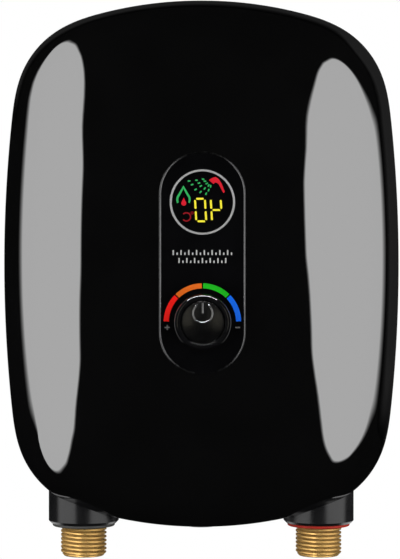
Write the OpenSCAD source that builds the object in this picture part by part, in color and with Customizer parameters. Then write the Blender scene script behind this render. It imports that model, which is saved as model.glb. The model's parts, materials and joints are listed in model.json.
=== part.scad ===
// Wall-hung tankless electric water heater. The wall face is at y = 0 and the front faces -Y.
// Shapes are drawn in the front view, x to the right, y up, z out from the wall, and then hung upright.

/* [Casing] */
// Width of the casing across its bowed sides
body_w = 180; // [170:1:210]
// Height of the casing between its arches
body_h = 240; // [230:1:290]
// Depth from the wall to the crown of the front cover
body_d = 66; // [63:0.5:80]
// Depth of the rear housing, from the wall to the parting line
rear_d = 27; // [25:0.5:31]
// Wall thickness of both shells
wall = 2.8; // [2.2:0.1:3.4]
// Radius of the bowed sides
side_bow_r = 625; // [500:5:1200]
// Radius of the top and bottom arches
arch_r = 185; // [170:1:230]
// Radius of the four corners
corner_r = 46; // [38:1:60]
// Fullness of the front dome: 2 is an ellipse, more is squarer
dome_full = 3.3; // [2.6:0.1:4.5]
// Radius of the rounded rear edge
back_round = 10; // [6:0.5:12]
// Thickness of the seal in the parting line
seal_t = 1.2; // [0.8:0.1:2]

/* [Wall fixing] */
// Distance between the two keyholes
key_span = 80; // [60:1:96]
// Height of the keyholes above the middle of the casing
key_y = 90; // [84:0.5:92]
// Radius of the keyhole's round entry
key_r = 5; // [4:0.1:6]
// Radius of the keyhole's slot
key_slot_r = 2.5; // [2:0.1:3]
// Length of the keyhole's slot above its entry
key_slot = 9; // [8:0.5:11]

/* [Cover screws] */
// Radius of the screw bosses and posts
boss_r = 4.5; // [4:0.1:5]
// Distance of the screws from the casing's outline
screw_inset = 26; // [23:0.5:29]
// Half angle between the two lower screws, seen from the arch's centre
low_screw_a = 8; // [7:0.5:9]
// Screw shank radius
screw_r = 1.5; // [1.2:0.1:1.8]
// Screw head radius
screw_head_r = 2.8; // [2.4:0.1:3.2]
// Screw head height
screw_head_h = 1.8; // [1.4:0.1:2.4]
// Material left under each cover screw's head
screw_web = 6; // [4:0.5:10]
// Depth that a screw reaches into its post
screw_bite = 9; // [6:0.5:14]

/* [Control panel] */
// Width of the panel, trim included
panel_w = 37; // [36:0.5:42]
// Height of the panel, trim included
panel_h = 97.4; // [94:0.2:108]
// Height of the panel's face above the crown
panel_proud = 0.8; // [0.4:0.1:2]
// Width of the light trim round the panel
trim_w = 0.4; // [0.4:0.1:1.2]
// Height of the trim above the panel's face
trim_proud = 0.15; // [0.1:0.05:0.5]
// Width of the flange behind the cover's opening
flange_w = 3; // [2:0.5:4]
// Thickness of that flange
flange_t = 2; // [1.5:0.1:3]
// Width of the cover's flat land round the panel
land_w = 5; // [4.5:0.5:8]
// Thickness of printed marks
print_t = 0.2; // [0.1:0.05:0.4]

/* [Display] */
// Height of the display's centre above the middle of the casing
display_y = 26.7; // [25:0.1:28]
// Outer radius of the display ring
display_r = 14.3; // [13.5:0.1:15.5]
// Width of the display ring
display_ring_w = 0.9; // [0.7:0.05:1.6]
// Height of the ring above the panel's face
display_ring_proud = 0.25; // [0.1:0.05:0.6]
// Width of one digit
digit_w = 5.2; // [4:0.1:5.6]
// Height of the digits
digit_h = 10.7; // [8:0.1:11]
// Stroke of the digits' segments
digit_stroke = 0.85; // [0.6:0.05:1.4]
// Slant of the digits, as sideways shift for each unit of height
digit_slant = -0.06; // [-0.15:0.01:0.15]
// Length of one lit drop
drop_len = 1.15; // [0.8:0.05:1.3]
// Stroke of the pictograms
icon_stroke = 0.6; // [0.4:0.05:0.8]

/* [Knob and button] */
// Height of the knob's axis, below the middle of the casing when negative
knob_y = -25.8; // [-27:0.1:-24.5]
// Radius of the knob at its foot
knob_r = 12.3; // [11.5:0.1:13.5]
// Height of the knob
knob_h = 11.5; // [9:0.5:14]
// Radius of the knob's rounded shoulder
knob_shoulder = 1.5; // [0.8:0.1:1.7]
// Fullness of the knob's shoulder: 2 is an arc, more is squarer
knob_full = 2.2; // [2:0.1:4]
// Gap between knob and panel
knob_lift = 0.5; // [0.3:0.1:1]
// Radius of the knob's hollow hub
hub_r = 4.4; // [4.2:0.1:5]
// Radius of the power button
button_r = 9.4; // [8.6:0.1:9.8]
// Thickness of the button's cap
button_cap = 2.2; // [1.6:0.1:3]
// Height of the button above the knob's face
button_proud = 0.3; // [0:0.1:1]
// Travel of the button
button_travel = 1.5; // [1:0.1:2]
// Radius of the button's stem
stem_r = 2.2; // [1.8:0.1:2.4]
// Radius of the power symbol
symbol_r = 4.6; // [3.6:0.1:4.6]
// Height of the symbol's middle above the button's axis
symbol_lift = 4; // [0:0.1:4]
// Stroke of the power symbol
symbol_stroke = 0.8; // [0.4:0.05:1]
// Inner radius of the coloured scale
scale_in_r = 14.7; // [14.2:0.1:15.2]
// Outer radius of the coloured scale
scale_out_r = 16.95; // [16.2:0.05:17.2]
// Gap between two scale segments, in degrees
scale_gap = 2; // [1:0.5:5]

/* [Water connections] */
// Distance between the two pipe axes
union_span = 108; // [104:1:114]
// Distance of the pipe axes from the wall
pipe_z = 22; // [21.5:0.5:23]
// Outer diameter of the pipe sleeves
sleeve_d = 32.2; // [30:0.2:34]
// Length of the sleeves
sleeve_len = 27.4; // [22:0.1:28]
// Height of the sleeves' lower ends above the casing's lowest point
sleeve_rise = 1.1; // [0:0.1:5]
// Chamfer at the sleeves' lower ends
sleeve_chamfer = 1.2; // [0.5:0.1:2]
// Outer diameter of the coloured rings under the sleeves
ring_d = 28.6; // [25:0.2:29.6]
// Thickness of those rings
ring_t = 1.4; // [1:0.1:4]
// Major diameter of the pipe thread
thread_d = 20.955; // [19:0.005:22]
// Pitch of the pipe thread
thread_pitch = 1.814; // [1.4:0.002:2.2]
// Depth of the pipe thread
thread_depth = 1.16; // [0.8:0.02:1.3]
// Turns of thread below each ring
thread_turns = 7; // [5:1:9]
// Plain end below the thread
thread_lead = 1; // [0.5:0.1:2]
// Bore of the unions' threaded ends
union_bore = 15; // [12:0.5:16]
// Length of that bore
union_bore_len = 13; // [10:0.5:15]
// Height of the sleeves' inner ledge above their lower end
ledge_h = 14.9; // [12:0.1:16]
// Radius of the unions' inner flange
union_flange_r = 13.2; // [12.6:0.1:13.4]
// Thickness of the unions' inner flange
union_flange_t = 5; // [3:0.5:7]
// Length of the spigot above that flange
spigot_len = 8; // [6:0.5:9]

/* [Pipes and heating] */
// Outer radius of the copper pipes
pipe_r = 6.2; // [5.8:0.1:6.6]
// Wall of the copper pipes
pipe_wall = 1; // [0.6:0.1:1.4]
// Bend radius of the pipes
bend_r = 12; // [10:0.5:13]
// Length of the flow sensor
sensor_len = 36; // [34:0.5:40]
// Outer radius of the flow sensor
sensor_r = 11; // [10:0.2:12.4]
// Bore radius of the flow sensor's chamber
sensor_bore_r = 7; // [6:0.1:8]
// Radius of the flow rotor
rotor_r = 6.3; // [5:0.1:6.6]
// Height of the flow rotor
rotor_h = 10; // [7:0.5:12]
// Radius of the rotor's axle
axle_r = 1; // [0.8:0.05:1.2]
// Outer radius of the heating tank
tank_r = 16; // [15:0.2:16.8]
// Wall of the heating tank
tank_wall = 1.5; // [1:0.1:2]
// Height of the tank's lower end, measured from the middle of the casing
tank_y0 = -50; // [-54:0.5:-46]
// Length of the tank
tank_len = 120; // [114:1:124]
// Distance of the ports from the tank's ends
port_inset = 12; // [10:0.5:16]
// Reach of the ports from the tank's axis
port_reach = 24; // [21:0.5:26]
// Thickness of the element flange
element_flange_t = 4; // [3:0.5:6]
// Thickness of the flange seal
flange_seal_t = 1; // [0.6:0.1:2]
// Radius of the heating tubes
element_r = 3.2; // [2.6:0.1:3.6]
// Half distance between the legs of a heating tube
element_half = 6; // [5:0.2:6.4]
// Clear height under the heating tubes
element_clear = 12; // [8:1:20]

/* [Electrics] */
// Thickness of both circuit boards
board_t = 1.6; // [1.2:0.1:2]
// Width of the display board
display_board_w = 34; // [33.5:0.5:36]
// Depth of the parts between panel and display board
display_depth = 9; // [8:0.5:10]
// Depth of the power switch
switch_depth = 8; // [7.4:0.1:8.4]
// Width of the main board
main_board_w = 50; // [46:1:54]
// Height of the main board
main_board_h = 92; // [86:1:93]
// Height of the main board's lower edge, from the middle of the casing
main_board_y = -24; // [-25:0.5:-22]
// Height of the main board above the wall face
main_board_z = 12; // [10:0.5:13]
// Radius of the cable entry
cable_r = 4; // [3:0.1:4.5]
// Radius of the leads
lead_r = 1.4; // [1:0.1:1.8]

/* [Hidden] */
$fn = 64;

// Clearances: a snug fit, a running fit, a loose gap and the overshoot of a cut
fit = 0.1;
run = 0.05;
gap = 0.3;
cut = 1;

// Steps along each part of the casing's outline and across its rounded edges
side_steps = 8;
corner_steps = 10;
arch_steps = 9;
dome_steps = 15;
back_steps = 5;
knob_step = 7.5;

// Outline of the casing: side, corner and arch meet tangentially
half_w = body_w / 2;
half_h = body_h / 2;
side_c = [half_w - side_bow_r, 0];
arch_c = [0, half_h - arch_r];
corner_c = corner_centre(side_bow_r - corner_r, arch_r - corner_r);
corner_from = atan2(corner_c.y - side_c.y, corner_c.x - side_c.x);
corner_to = atan2(corner_c.y - arch_c.y, corner_c.x - arch_c.x);
foot_y = -half_h;
seam_z = rear_d + seal_t;

// Levels of the control panel, from the front to the rear
panel_r = panel_w / 2;
panel_straight = panel_h / 2 - panel_r;
plate_r = panel_r - trim_w - fit;
face_z = body_d + panel_proud;
flange_z1 = body_d - wall;
flange_z0 = flange_z1 - flange_t;
board_front = flange_z0 - display_depth;
board_back = board_front - board_t;
post_x = 9;
post_inset = 2.4;
post_y = panel_straight + panel_r - post_inset;
post_r = 2.6;

// Knob, hub and button levels
knob_z0 = face_z + knob_lift;
knob_z1 = knob_z0 + knob_h;
hub_foot = 0.6;
groove_depth = 0.6;
clip_foot = 0.9;
clip_t = 1;
clip_w = 2;
stem_reach = 1.5;
hub_z0 = board_front + hub_foot;
hub_bore_r = stem_r + gap;
groove_r = hub_r - groove_depth;
clip_z0 = hub_z0 + clip_foot;
clip_r = hub_r + clip_w;
pocket_r = button_r + gap;
button_z1 = knob_z1 + button_proud;
button_z0 = button_z1 - button_cap;
pocket_z = button_z0 - button_travel - gap;
stem_z0 = board_back - stem_reach;

// Levels of the water connections, from the sleeve's lower end
sleeve_r = sleeve_d / 2;
thread_r = thread_d / 2;
sleeve_y0 = foot_y + sleeve_rise;
ring_y0 = sleeve_y0 - ring_t;
thread_end = ring_y0 - thread_turns * thread_pitch - thread_lead;
neck_r = thread_r - thread_depth;
ledge_y = sleeve_y0 + ledge_h;
union_top = ledge_y + union_flange_t;
pipe_bore_r = pipe_r - pipe_wall;
spigot_r = pipe_bore_r - fit;
spigot_wall = 1.4;
spigot_bore_r = spigot_r - spigot_wall;
filter_t = 1.2;
filter_seat = 0.8;
filter_r = union_bore / 2 - filter_seat;
// Corners of one thread ring: share of the depth, share of the pitch
thread_form = [[0, 0.08], [1, 0.4], [1, 0.62], [0, 0.94]];

// Flow sensor
sensor_y1 = union_top + sensor_len;
chamber_y0 = union_top + spigot_len + gap;
sensor_end = 4;
chamber_y1 = sensor_y1 - sensor_end;
spider_t = 1.6;
spider_inset = 1;
spider_wall = 1.4;
spider_hub_r = axle_r + spider_wall;
rotor_y0 = (chamber_y0 + chamber_y1 - rotor_h) / 2;
rotor_wall = 1.3;
rotor_hub_r = axle_r + rotor_wall;
pickup_t = 5;
pickup_w = 10;
pickup_h = 14;
pickup_seat = 0.4;
pickup_z = pipe_z + sensor_r + pickup_seat;

// Heating tank and its fittings
tank_y1 = tank_y0 + tank_len;
inlet_y = tank_y0 + port_inset;
outlet_y = tank_y1 - port_inset;
port_wall = 1.2;
port_r = pipe_r + port_wall;
tank_lip = 2.4;
tank_flange_r = tank_r + tank_lip;
tank_flange_t = 4;
ear_reach = 6;
ear_x = tank_r + ear_reach;
ear_r = 4;
seal_y0 = tank_y1;
element_flange_y0 = seal_y0 + flange_seal_t;
element_flange_y1 = element_flange_y0 + element_flange_t;
element_stub = 2;
element_top = element_flange_y1 + element_stub;
terminal_len = 12;
pad_w = 16;
pad_rise = 1.5;
pad_z = pipe_z + tank_r + pad_rise;
cutout_drop = 20;
cutout_y = tank_y1 - cutout_drop;
cutout_r = 7.6;
cutout_h = 6;
reset_r = 1.4;
reset_travel = 1.5;
reset_foot = 3.4;
reset_proud = 2.6;
reset_z0 = pad_z + reset_foot;
reset_z1 = pad_z + cutout_h + reset_proud;
triac_rise = 8;
triac_y = tank_y0 + triac_rise;
pad_edge = 0.5;
pad_h = 2 * (cutout_r + pad_edge);
saddle_w = 26;
saddle_t = 5;
saddle_inset = 30;
saddle_y = [tank_y0 + saddle_inset, tank_y1 - saddle_inset];

// Boards and terminals
main_board_gap = 12;
main_board_x1 = -tank_r - main_board_gap;
main_board_x0 = main_board_x1 - main_board_w;
main_board_y1 = main_board_y + main_board_h;
main_top = main_board_z + board_t;
standoff_inset = 4.5;
standoff_r = 3.2;
socket_w = 16;
socket_h = 9;
socket_d = 10;
socket_inset = 18;
socket_x = main_board_x1 - socket_inset;
lead_rise = 2.6;
lead_z = main_top + lead_rise;
terminal_w = 30;
terminal_h = 20;
terminal_d = 16;
relay_w = 16;
relay_h = 28;
relay_d = 15;
core_w = 22;
core_h = 26;
core_d = 18;
coil_w = 30;
coil_h = 14;
coil_d = 14;
can_r = 4.6;
can_tall = 18;
can_short = 14;
can_gap = 2.8;
terminal_rise = 36;
terminal_y = foot_y + terminal_rise;
terminal_top = terminal_y + terminal_h;
terminal_pitch = 9;
terminal_screw_r = 2.4;
terminal_floor = 4;
terminal_entry = 6;
terminal_sink = 2;

// Cable entry in the lower wall of the rear housing
grommet_z = (back_round + rear_d) / 2;
grommet_wall = 1.8;
grommet_neck_r = cable_r + grommet_wall;
grommet_flange_r = grommet_neck_r + grommet_wall;
grommet_lip = 0.8;
grommet_sag = grommet_flange_r * grommet_flange_r / (2 * arch_r);

// Places of the four cover screws, and the tops of their posts
high_screw = on_arc(corner_c, corner_r - screw_inset, (corner_from + corner_to) / 2);
low_screw = on_arc(arch_c, arch_r - screw_inset, 90 - low_screw_a);
high_top = post_top(high_screw, corner_c, corner_r - wall);
low_top = post_top(low_screw, arch_c, arch_r - wall);
screw_spots = [
  high_screw,
  [-high_screw.x, high_screw.y],
  [low_screw.x, -low_screw.y],
  [-low_screw.x, -low_screw.y]
];
screw_tops = [high_top, high_top, low_top, low_top];

// Lit places of the two digits: top, upper right, lower right, bottom, lower left, upper left, middle
left_digit = [1, 1, 1, 1, 1, 1, 0];
right_digit = [0, 1, 0, 0, 1, 1, 1];
left_digit_at = [-0.8, -3.5];
right_digit_at = [6.1, -3.5];

// Routes of the leads, in the front view
lead_sides = 8;
lead_ring_steps = 3;
lead_end = 4;
lead_exit_z = 11;
live_route = [
  [-terminal_pitch, terminal_top, lead_exit_z],
  [-terminal_pitch, terminal_top + lead_end, lead_exit_z],
  [-18, -57, 10],
  [-34, -52, 9],
  [socket_x - 1, -44, 8.5],
  [socket_x - 3, -34, 9],
  [socket_x - 3, main_board_y, lead_z]
];
neutral_route = [
  [0, terminal_top, lead_exit_z],
  [0, terminal_top + lead_end, lead_exit_z],
  [-12, -54, 8],
  [-20, -46, 7],
  [-32, -42, 7],
  [socket_x + 3, -35, 8],
  [socket_x + 3, main_board_y, lead_z]
];
earth_route = [
  [terminal_pitch, terminal_top, lead_exit_z],
  [terminal_pitch, terminal_top + lead_end, lead_exit_z],
  [6, tank_y0 - 7, 15],
  [4, tank_y0 - 4, 20],
  [4, tank_y0, 20]
];
element_route = [
  [socket_x, main_board_y1, lead_z],
  [socket_x, main_board_y1 + 6, lead_z],
  [socket_x + 8, main_board_y1 + 18, pipe_z],
  [-22, element_top + terminal_len + 8, pipe_z],
  [-element_half - 4, element_top + terminal_len + 12, pipe_z + element_half],
  [-element_half, element_top + terminal_len + 6, pipe_z + element_half],
  [-element_half, element_top + terminal_len, pipe_z + element_half]
];
ribbon_y = 24;
ribbon_w = 8;
ribbon_t = 1;
ribbon_lap = 4;
ribbon_x = main_board_x1 - ribbon_lap;

function on_arc(c, r, a) = c + r * [cos(a), sin(a)];

function corner_centre(ra, rb) =
  let (d = norm(arch_c - side_c), u = (arch_c - side_c) / d)
  let (p = (ra * ra - rb * rb + d * d) / (2 * d))
  side_c + p * u + sqrt(ra * ra - p * p) * [-u.y, u.x];

// One quarter of the outline, moved inwards by inset
function quarter(inset) = concat(
  [for (k = [0 : side_steps - 1])
    on_arc(side_c, side_bow_r - inset, corner_from * k / side_steps)],
  [for (k = [0 : corner_steps - 1])
    on_arc(corner_c, corner_r - inset, corner_from + (corner_to - corner_from) * k / corner_steps)],
  [for (k = [0 : arch_steps])
    on_arc(arch_c, arch_r - inset, corner_to + (90 - corner_to) * k / arch_steps)]
);

// The whole outline, moved inwards by inset
function rim(inset) =
  let (q = quarter(inset), n = len(q) - 1)
  concat(
    [for (k = [0 : n - 1]) q[k]],
    [for (k = [0 : n - 1]) [-q[n - k].x, q[n - k].y]],
    [for (k = [0 : n - 1]) -q[k]],
    [for (k = [0 : n - 1]) [q[n - k].x, -q[n - k].y]]
  );

// Where the line from the middle to p crosses a stadium
function on_stadium(p, r, straight) =
  let (u = p / norm(p), c = abs(u.x), s = abs(u.y))
  u * (s * r <= straight * c ? r / c : straight * s + sqrt(r * r - straight * straight * c * c));

// Height of the dome, by the share of the way from the panel's land to the rim; inner skins are lower
function dome(share, skin) = seam_z + (body_d - skin - seam_z) * sqrt(1 - pow(share, dome_full));

// One ring of the dome: turn is 90 at the rim and 0 at the panel's land
function dome_ring(turn, skin) =
  let (share = pow(sin(turn), 2 / dome_full))
  [for (p = rim(skin))
    let (q = on_stadium(p, panel_r + land_w, panel_straight), at = q + share * (p - q))
    [at.x, at.y, dome(share, skin)]];

// The edge of the panel's opening
function mouth_ring(skin) =
  [for (p = rim(skin))
    let (q = on_stadium(p, panel_r + fit, panel_straight))
    [q.x, q.y, body_d - skin]];

function cover_skin(skin) = concat(
  [for (k = [dome_steps : -1 : 0]) dome_ring(90 * k / dome_steps, skin)],
  [mouth_ring(skin)]
);

// Where the line from the middle through p leaves a circle, as a distance from the middle
function leaves(p, c, r) =
  let (s = unit(p) * c)
  s + sqrt(s * s - c * c + r * r);

// The top of a screw post, inside the dome's wall
function post_top(p, c, r) =
  let (land = norm(on_stadium(p, panel_r + land_w, panel_straight)))
  dome((norm(p) - land) / (leaves(p, c, r) - land), wall) + wall / 4;

function backwards(list) = [for (k = [len(list) - 1 : -1 : 0]) list[k]];

function level(points, z) = [for (p = points) [p.x, p.y, z]];

// The rear housing's skin from the back face up to the seam
function rear_skin(skin) = concat(
  [for (k = [back_steps : -1 : 0])
    let (a = 90 * k / back_steps)
    level(rim(skin + (back_round - skin) * (1 - cos(a))), back_round - (back_round - skin) * sin(a))],
  [level(rim(skin), rear_d)]
);

// A point of a smooth curve through four route points
function curve_point(a, b, c, d, t) =
  0.5 * (2 * b + (c - a) * t + (2 * a - 5 * b + 4 * c - d) * t * t + (3 * b - a - 3 * c + d) * t * t * t);

function route_points(route) =
  let (n = len(route) - 1)
  concat(
    [for (k = [0 : n - 1], s = [0 : lead_ring_steps - 1])
      curve_point(route[max(k - 1, 0)], route[k], route[k + 1], route[min(k + 2, n)], s / lead_ring_steps)],
    [route[n]]
  );

function unit(v) = v / norm(v);

// A ring of a lead, square to its run; the end rings are square to the faces that they meet
function lead_ring(points, k, aside) =
  let (n = len(points) - 1)
  let (ends = k == 0 || k == n)
  let (way = points[min(k + 1, n)] - points[max(k - 1, 0)])
  let (run_way = ends ? [0, sign(way.y), 0] : unit(way))
  let (u = unit(cross(run_way, aside)), v = cross(run_way, u))
  [for (s = [0 : lead_sides - 1])
    points[k] + lead_r * (cos(360 * s / lead_sides) * u + sin(360 * s / lead_sides) * v)];

// A closed solid through rings of equal count
module loft(rings, closed = false) {
  n = len(rings[0]);
  last = len(rings) - 1;
  sides = [for (j = [0 : closed ? last : last - 1], k = [0 : n - 1], upper = [0, 1])
    let (a = j * n, b = (j + 1) % (last + 1) * n, next = (k + 1) % n)
    upper == 1 ? [a + k, b + k, b + next] : [a + k, b + next, a + next]];
  caps = closed ? [] : [[for (k = [0 : n - 1]) k], [for (k = [n - 1 : -1 : 0]) last * n + k]];
  polyhedron([for (ring = rings) each ring], concat(sides, caps));
}

module lead(route, aside = [0, 0, 1]) {
  points = route_points(route);
  loft([for (k = [0 : len(points) - 1]) lead_ring(points, k, aside)]);
}

// Turns the front view upright against the wall
module hang() rotate([90, 0, 0]) children();

module rod_x(x0, x1, y, z, r) translate([x0, y, z]) rotate([0, 90, 0]) cylinder(r = r, h = x1 - x0);
module rod_y(x, y0, y1, z, r) translate([x, y0, z]) rotate([-90, 0, 0]) cylinder(r = r, h = y1 - y0);
module rod_z(x, y, z0, z1, r) translate([x, y, z0]) cylinder(r = r, h = z1 - z0);
module block(x0, x1, y0, y1, z0, z1) translate([x0, y0, z0]) cube([x1 - x0, y1 - y0, z1 - z0]);

// An upright profile turned about a pipe's axis; its second coordinate is the height
module on_pipe(side) translate([side * union_span / 2, 0, pipe_z]) rotate([-90, 0, 0]) children();

module stadium(r, z0, z1) {
  for (side = [-1, 1]) rod_z(0, side * panel_straight, z0, z1, r);
  block(-r, r, -panel_straight, panel_straight, z0, z1);
}

// A flat arc stroke about a point of the panel
module stroke_arc(at, r_in, r_out, from, to, z0, h)
  translate([at.x, at.y, z0]) rotate([0, 0, from]) rotate_extrude(angle = to - from)
    translate([r_in, 0]) square([r_out - r_in, h]);

// A flat bar between two points
module stroke_bar(a, b, w, z0, h)
  translate([a.x, a.y, z0]) rotate([0, 0, atan2(b.y - a.y, b.x - a.x)])
    translate([0, -w / 2, 0]) cube([norm(b - a), w, h]);

module screw_z(x, y, z_head, reach, flip = false)
  translate([x, y, z_head]) mirror([0, 0, flip ? 1 : 0]) {
    cylinder(r = screw_head_r, h = screw_head_h);
    translate([0, 0, -reach]) cylinder(r = screw_r - fit, h = reach + fit);
  }

module sleeve_notches(y1)
  for (side = [-1, 1])
    rod_y(side * union_span / 2, foot_y - cut, y1, pipe_z, sleeve_r + gap);

module keyhole(x) {
  rod_z(x, key_y, -cut, wall + cut, key_r);
  block(x - key_slot_r, x + key_slot_r, key_y, key_y + key_slot, -cut, wall + cut);
  rod_z(x, key_y + key_slot, -cut, wall + cut, key_slot_r);
}

module standoffs(r, z0, z1)
  for (x = [main_board_x0 + standoff_inset, main_board_x1 - standoff_inset])
    for (y = [main_board_y + standoff_inset, main_board_y1 - standoff_inset])
      rod_z(x, y, z0, z1, r);

module panel_posts(r, z0, z1)
  for (sx = [-1, 1], sy = [-1, 1]) rod_z(sx * post_x, sy * post_y, z0, z1, r);

module saddles()
  difference() {
    for (y = saddle_y)
      block(-saddle_w / 2, saddle_w / 2, y - saddle_t / 2, y + saddle_t / 2, wall / 2, pipe_z - tank_r / 2);
    rod_y(0, tank_y0, tank_y1, pipe_z, tank_r + fit);
  }

module rear_housing() color("#0d0d0e") hang()
  difference() {
    union() {
      loft(concat(rear_skin(0), backwards(rear_skin(wall))));
      for (side = [-1, 1]) on_pipe(side) rotate_extrude() polygon([
        [0, sleeve_y0], [sleeve_r - sleeve_chamfer, sleeve_y0], [sleeve_r, sleeve_y0 + sleeve_chamfer],
        [sleeve_r, sleeve_y0 + sleeve_len], [0, sleeve_y0 + sleeve_len]
      ]);
      for (p = screw_spots) rod_z(p.x, p.y, wall / 2, rear_d, boss_r);
      standoffs(standoff_r, wall / 2, main_board_z);
      saddles();
    }
    for (side = [-1, 1]) {
      rod_y(side * union_span / 2, sleeve_y0 - cut, ledge_y + cut, pipe_z, thread_r + gap);
      rod_y(side * union_span / 2, ledge_y, sleeve_y0 + sleeve_len + cut, pipe_z, union_flange_r + fit);
    }
    for (p = screw_spots) {
      rod_z(p.x, p.y, -cut, rear_d + cut, screw_r + fit);
      rod_z(p.x, p.y, -cut, rear_d - screw_web, screw_head_r + gap);
    }
    standoffs(screw_r, wall, main_board_z + cut);
    for (side = [-1, 1]) keyhole(side * key_span / 2);
    rod_y(0, foot_y - cut, foot_y + wall + cut, grommet_z, grommet_neck_r + fit);
  }

module front_cover() color("#060607") hang()
  difference() {
    union() {
      loft(concat(cover_skin(0), backwards(cover_skin(wall))), closed = true);
      for (k = [0 : len(screw_spots) - 1])
        rod_z(screw_spots[k].x, screw_spots[k].y, rear_d, screw_tops[k], boss_r);
    }
    for (p = screw_spots) rod_z(p.x, p.y, rear_d - cut, rear_d + screw_bite + cut, screw_r);
    sleeve_notches(sleeve_y0 + sleeve_len + gap);
  }

module casing_seal() color("#1b1b1c") hang()
  difference() {
    translate([0, 0, rear_d]) linear_extrude(seal_t) polygon(rim(gap));
    translate([0, 0, rear_d - cut]) linear_extrude(seal_t + 2 * cut) polygon(rim(wall - gap));
    sleeve_notches(sleeve_y0 + sleeve_len + gap);
  }

module cover_screws() color("#8f9296") hang()
  for (p = screw_spots) screw_z(p.x, p.y, rear_d - screw_web, screw_web + screw_bite, flip = true);

module cable_grommet() color("#202020") hang()
  translate([0, 0, grommet_z]) rotate([-90, 0, 0]) rotate_extrude() polygon([
    [cable_r, foot_y - grommet_lip], [grommet_flange_r, foot_y - grommet_lip],
    [grommet_flange_r, foot_y - fit], [grommet_neck_r, foot_y - fit],
    [grommet_neck_r, foot_y + wall + grommet_sag + fit],
    [grommet_flange_r, foot_y + wall + grommet_sag + fit],
    [grommet_flange_r, foot_y + wall + grommet_sag + grommet_lip + fit],
    [cable_r, foot_y + wall + grommet_sag + grommet_lip + fit]
  ]);

module control_panel() color("#0a0a0b") hang()
  difference() {
    union() {
      stadium(plate_r, flange_z0, face_z);
      stadium(panel_r + flange_w, flange_z0, flange_z1);
      panel_posts(post_r, board_front, flange_z0 + fit);
    }
    rod_z(0, display_y, flange_z0 - cut, face_z + cut, display_r + fit);
    rod_z(0, knob_y, flange_z0 - cut, face_z + cut, hub_r + gap);
    panel_posts(screw_r, board_front - cut, flange_z0);
  }

module panel_trim() color("#9a9c9e") hang()
  difference() {
    stadium(panel_r, flange_z1, face_z + trim_proud);
    stadium(panel_r - trim_w, flange_z1 - cut, face_z + trim_proud + cut);
  }

// Two rows of ticks in the middle, and a plus and a minus at the ends of the scale
module panel_marks() color("white") hang() {
  tick = [0.6, 2.2];
  tick_step = 1.7;
  row_step = 3.5;
  row_ticks = [16, 13];
  sign_w = 2.2;
  sign_x = 15.4;
  sign_drop = 2.4;
  sign_y = knob_y - sign_drop;
  for (row = [0, 1], k = [0 : row_ticks[row] - 1])
    translate([(k - (row_ticks[row] - 1) / 2) * tick_step - tick.x / 2, row_step * (1 - row), face_z])
      cube([tick.x, tick.y / (1 + k % 2), print_t]);
  arm = [sign_w / 2, 0];
  rise = [0, sign_w / 2];
  for (x = [-sign_x, sign_x])
    stroke_bar([x, sign_y] - arm, [x, sign_y] + arm, tick.x, face_z, print_t);
  stroke_bar([-sign_x, sign_y] - rise, [-sign_x, sign_y] + rise, tick.x, face_z, print_t);
}

module display_ring() color("#b4b6b8") hang()
  difference() {
    rod_z(0, display_y, flange_z0, face_z + display_ring_proud, display_r);
    rod_z(0, display_y, flange_z0 - cut, face_z + display_ring_proud + cut, display_r - display_ring_w);
  }

module display_window() color("#050506") hang()
  rod_z(0, display_y, flange_z0, face_z, display_r - display_ring_w - fit);

// One lit segment: a bar with trimmed corners, slanted with the digit
module segment(a, b) {
  nib_share = 0.3;
  way = unit(b - a);
  side = [-way.y, way.x] * digit_stroke / 2;
  nib = way * digit_stroke * nib_share;
  tip = side * nib_share;
  shape = [
    a - tip, a + tip, a + nib + side, b - nib + side, b + tip, b - tip, b - nib - side, a + nib - side
  ];
  linear_extrude(print_t) polygon([for (p = shape) [p.x + digit_slant * p.y, p.y]]);
}

module digit(at, lit) {
  x = (digit_w - digit_stroke) / 2;
  y = (digit_h - digit_stroke) / 2;
  slit = 0.5;
  bars = [
    [[-x, y], [x, y]], [[x, y], [x, 0]], [[x, 0], [x, -y]], [[-x, -y], [x, -y]],
    [[-x, -y], [-x, 0]], [[-x, 0], [-x, y]], [[-x, 0], [x, 0]]
  ];
  for (k = [0 : len(bars) - 1]) if (lit[k] == 1) {
    short = unit(bars[k][1] - bars[k][0]) * slit;
    translate([at.x, display_y + at.y, face_z]) segment(bars[k][0] + short, bars[k][1] - short);
  }
}

module display_digits() color("#fff43c") hang() {
  digit(left_digit_at, left_digit);
  digit(right_digit_at, right_digit);
}

// Spray of drops that fan out from the shower head, and a flame outline
module display_green() color("#2fae5e") hang() {
  at = [0, display_y];
  spray_at = [4, 9.3];
  spray = [
    [-5.8, 9.2], [-2.6, 9.5], [-4.5, 7.6], [-1.5, 8.3], [-0.7, 7],
    [-3, 5.5], [-0.8, 4.4], [1, 5.9], [2.7, 5.2], [1.6, 3.6],
    [0.3, 10], [1.1, 9.1], [1.9, 8.1], [2.7, 7.2], [3.6, 6.9]
  ];
  flame_x = -8.3;
  flame_half = [
    [0, 7.2], [1.7, 4.4], [3, 2.3], [3.2, 0.9], [2.8, -0.5],
    [2.1, -0.2], [2.3, 0.9], [2.1, 2], [0.9, 4], [0, 5.8]
  ];
  for (p = spray) {
    half = unit(p - spray_at) * drop_len / 2;
    stroke_bar(at + p - half, at + p + half, icon_stroke, face_z, print_t);
  }
  translate([flame_x, display_y, face_z]) linear_extrude(print_t) polygon(concat(
    flame_half,
    [for (k = [len(flame_half) - 2 : -1 : 1]) [-flame_half[k].x, flame_half[k].y]]
  ));
}

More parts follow.
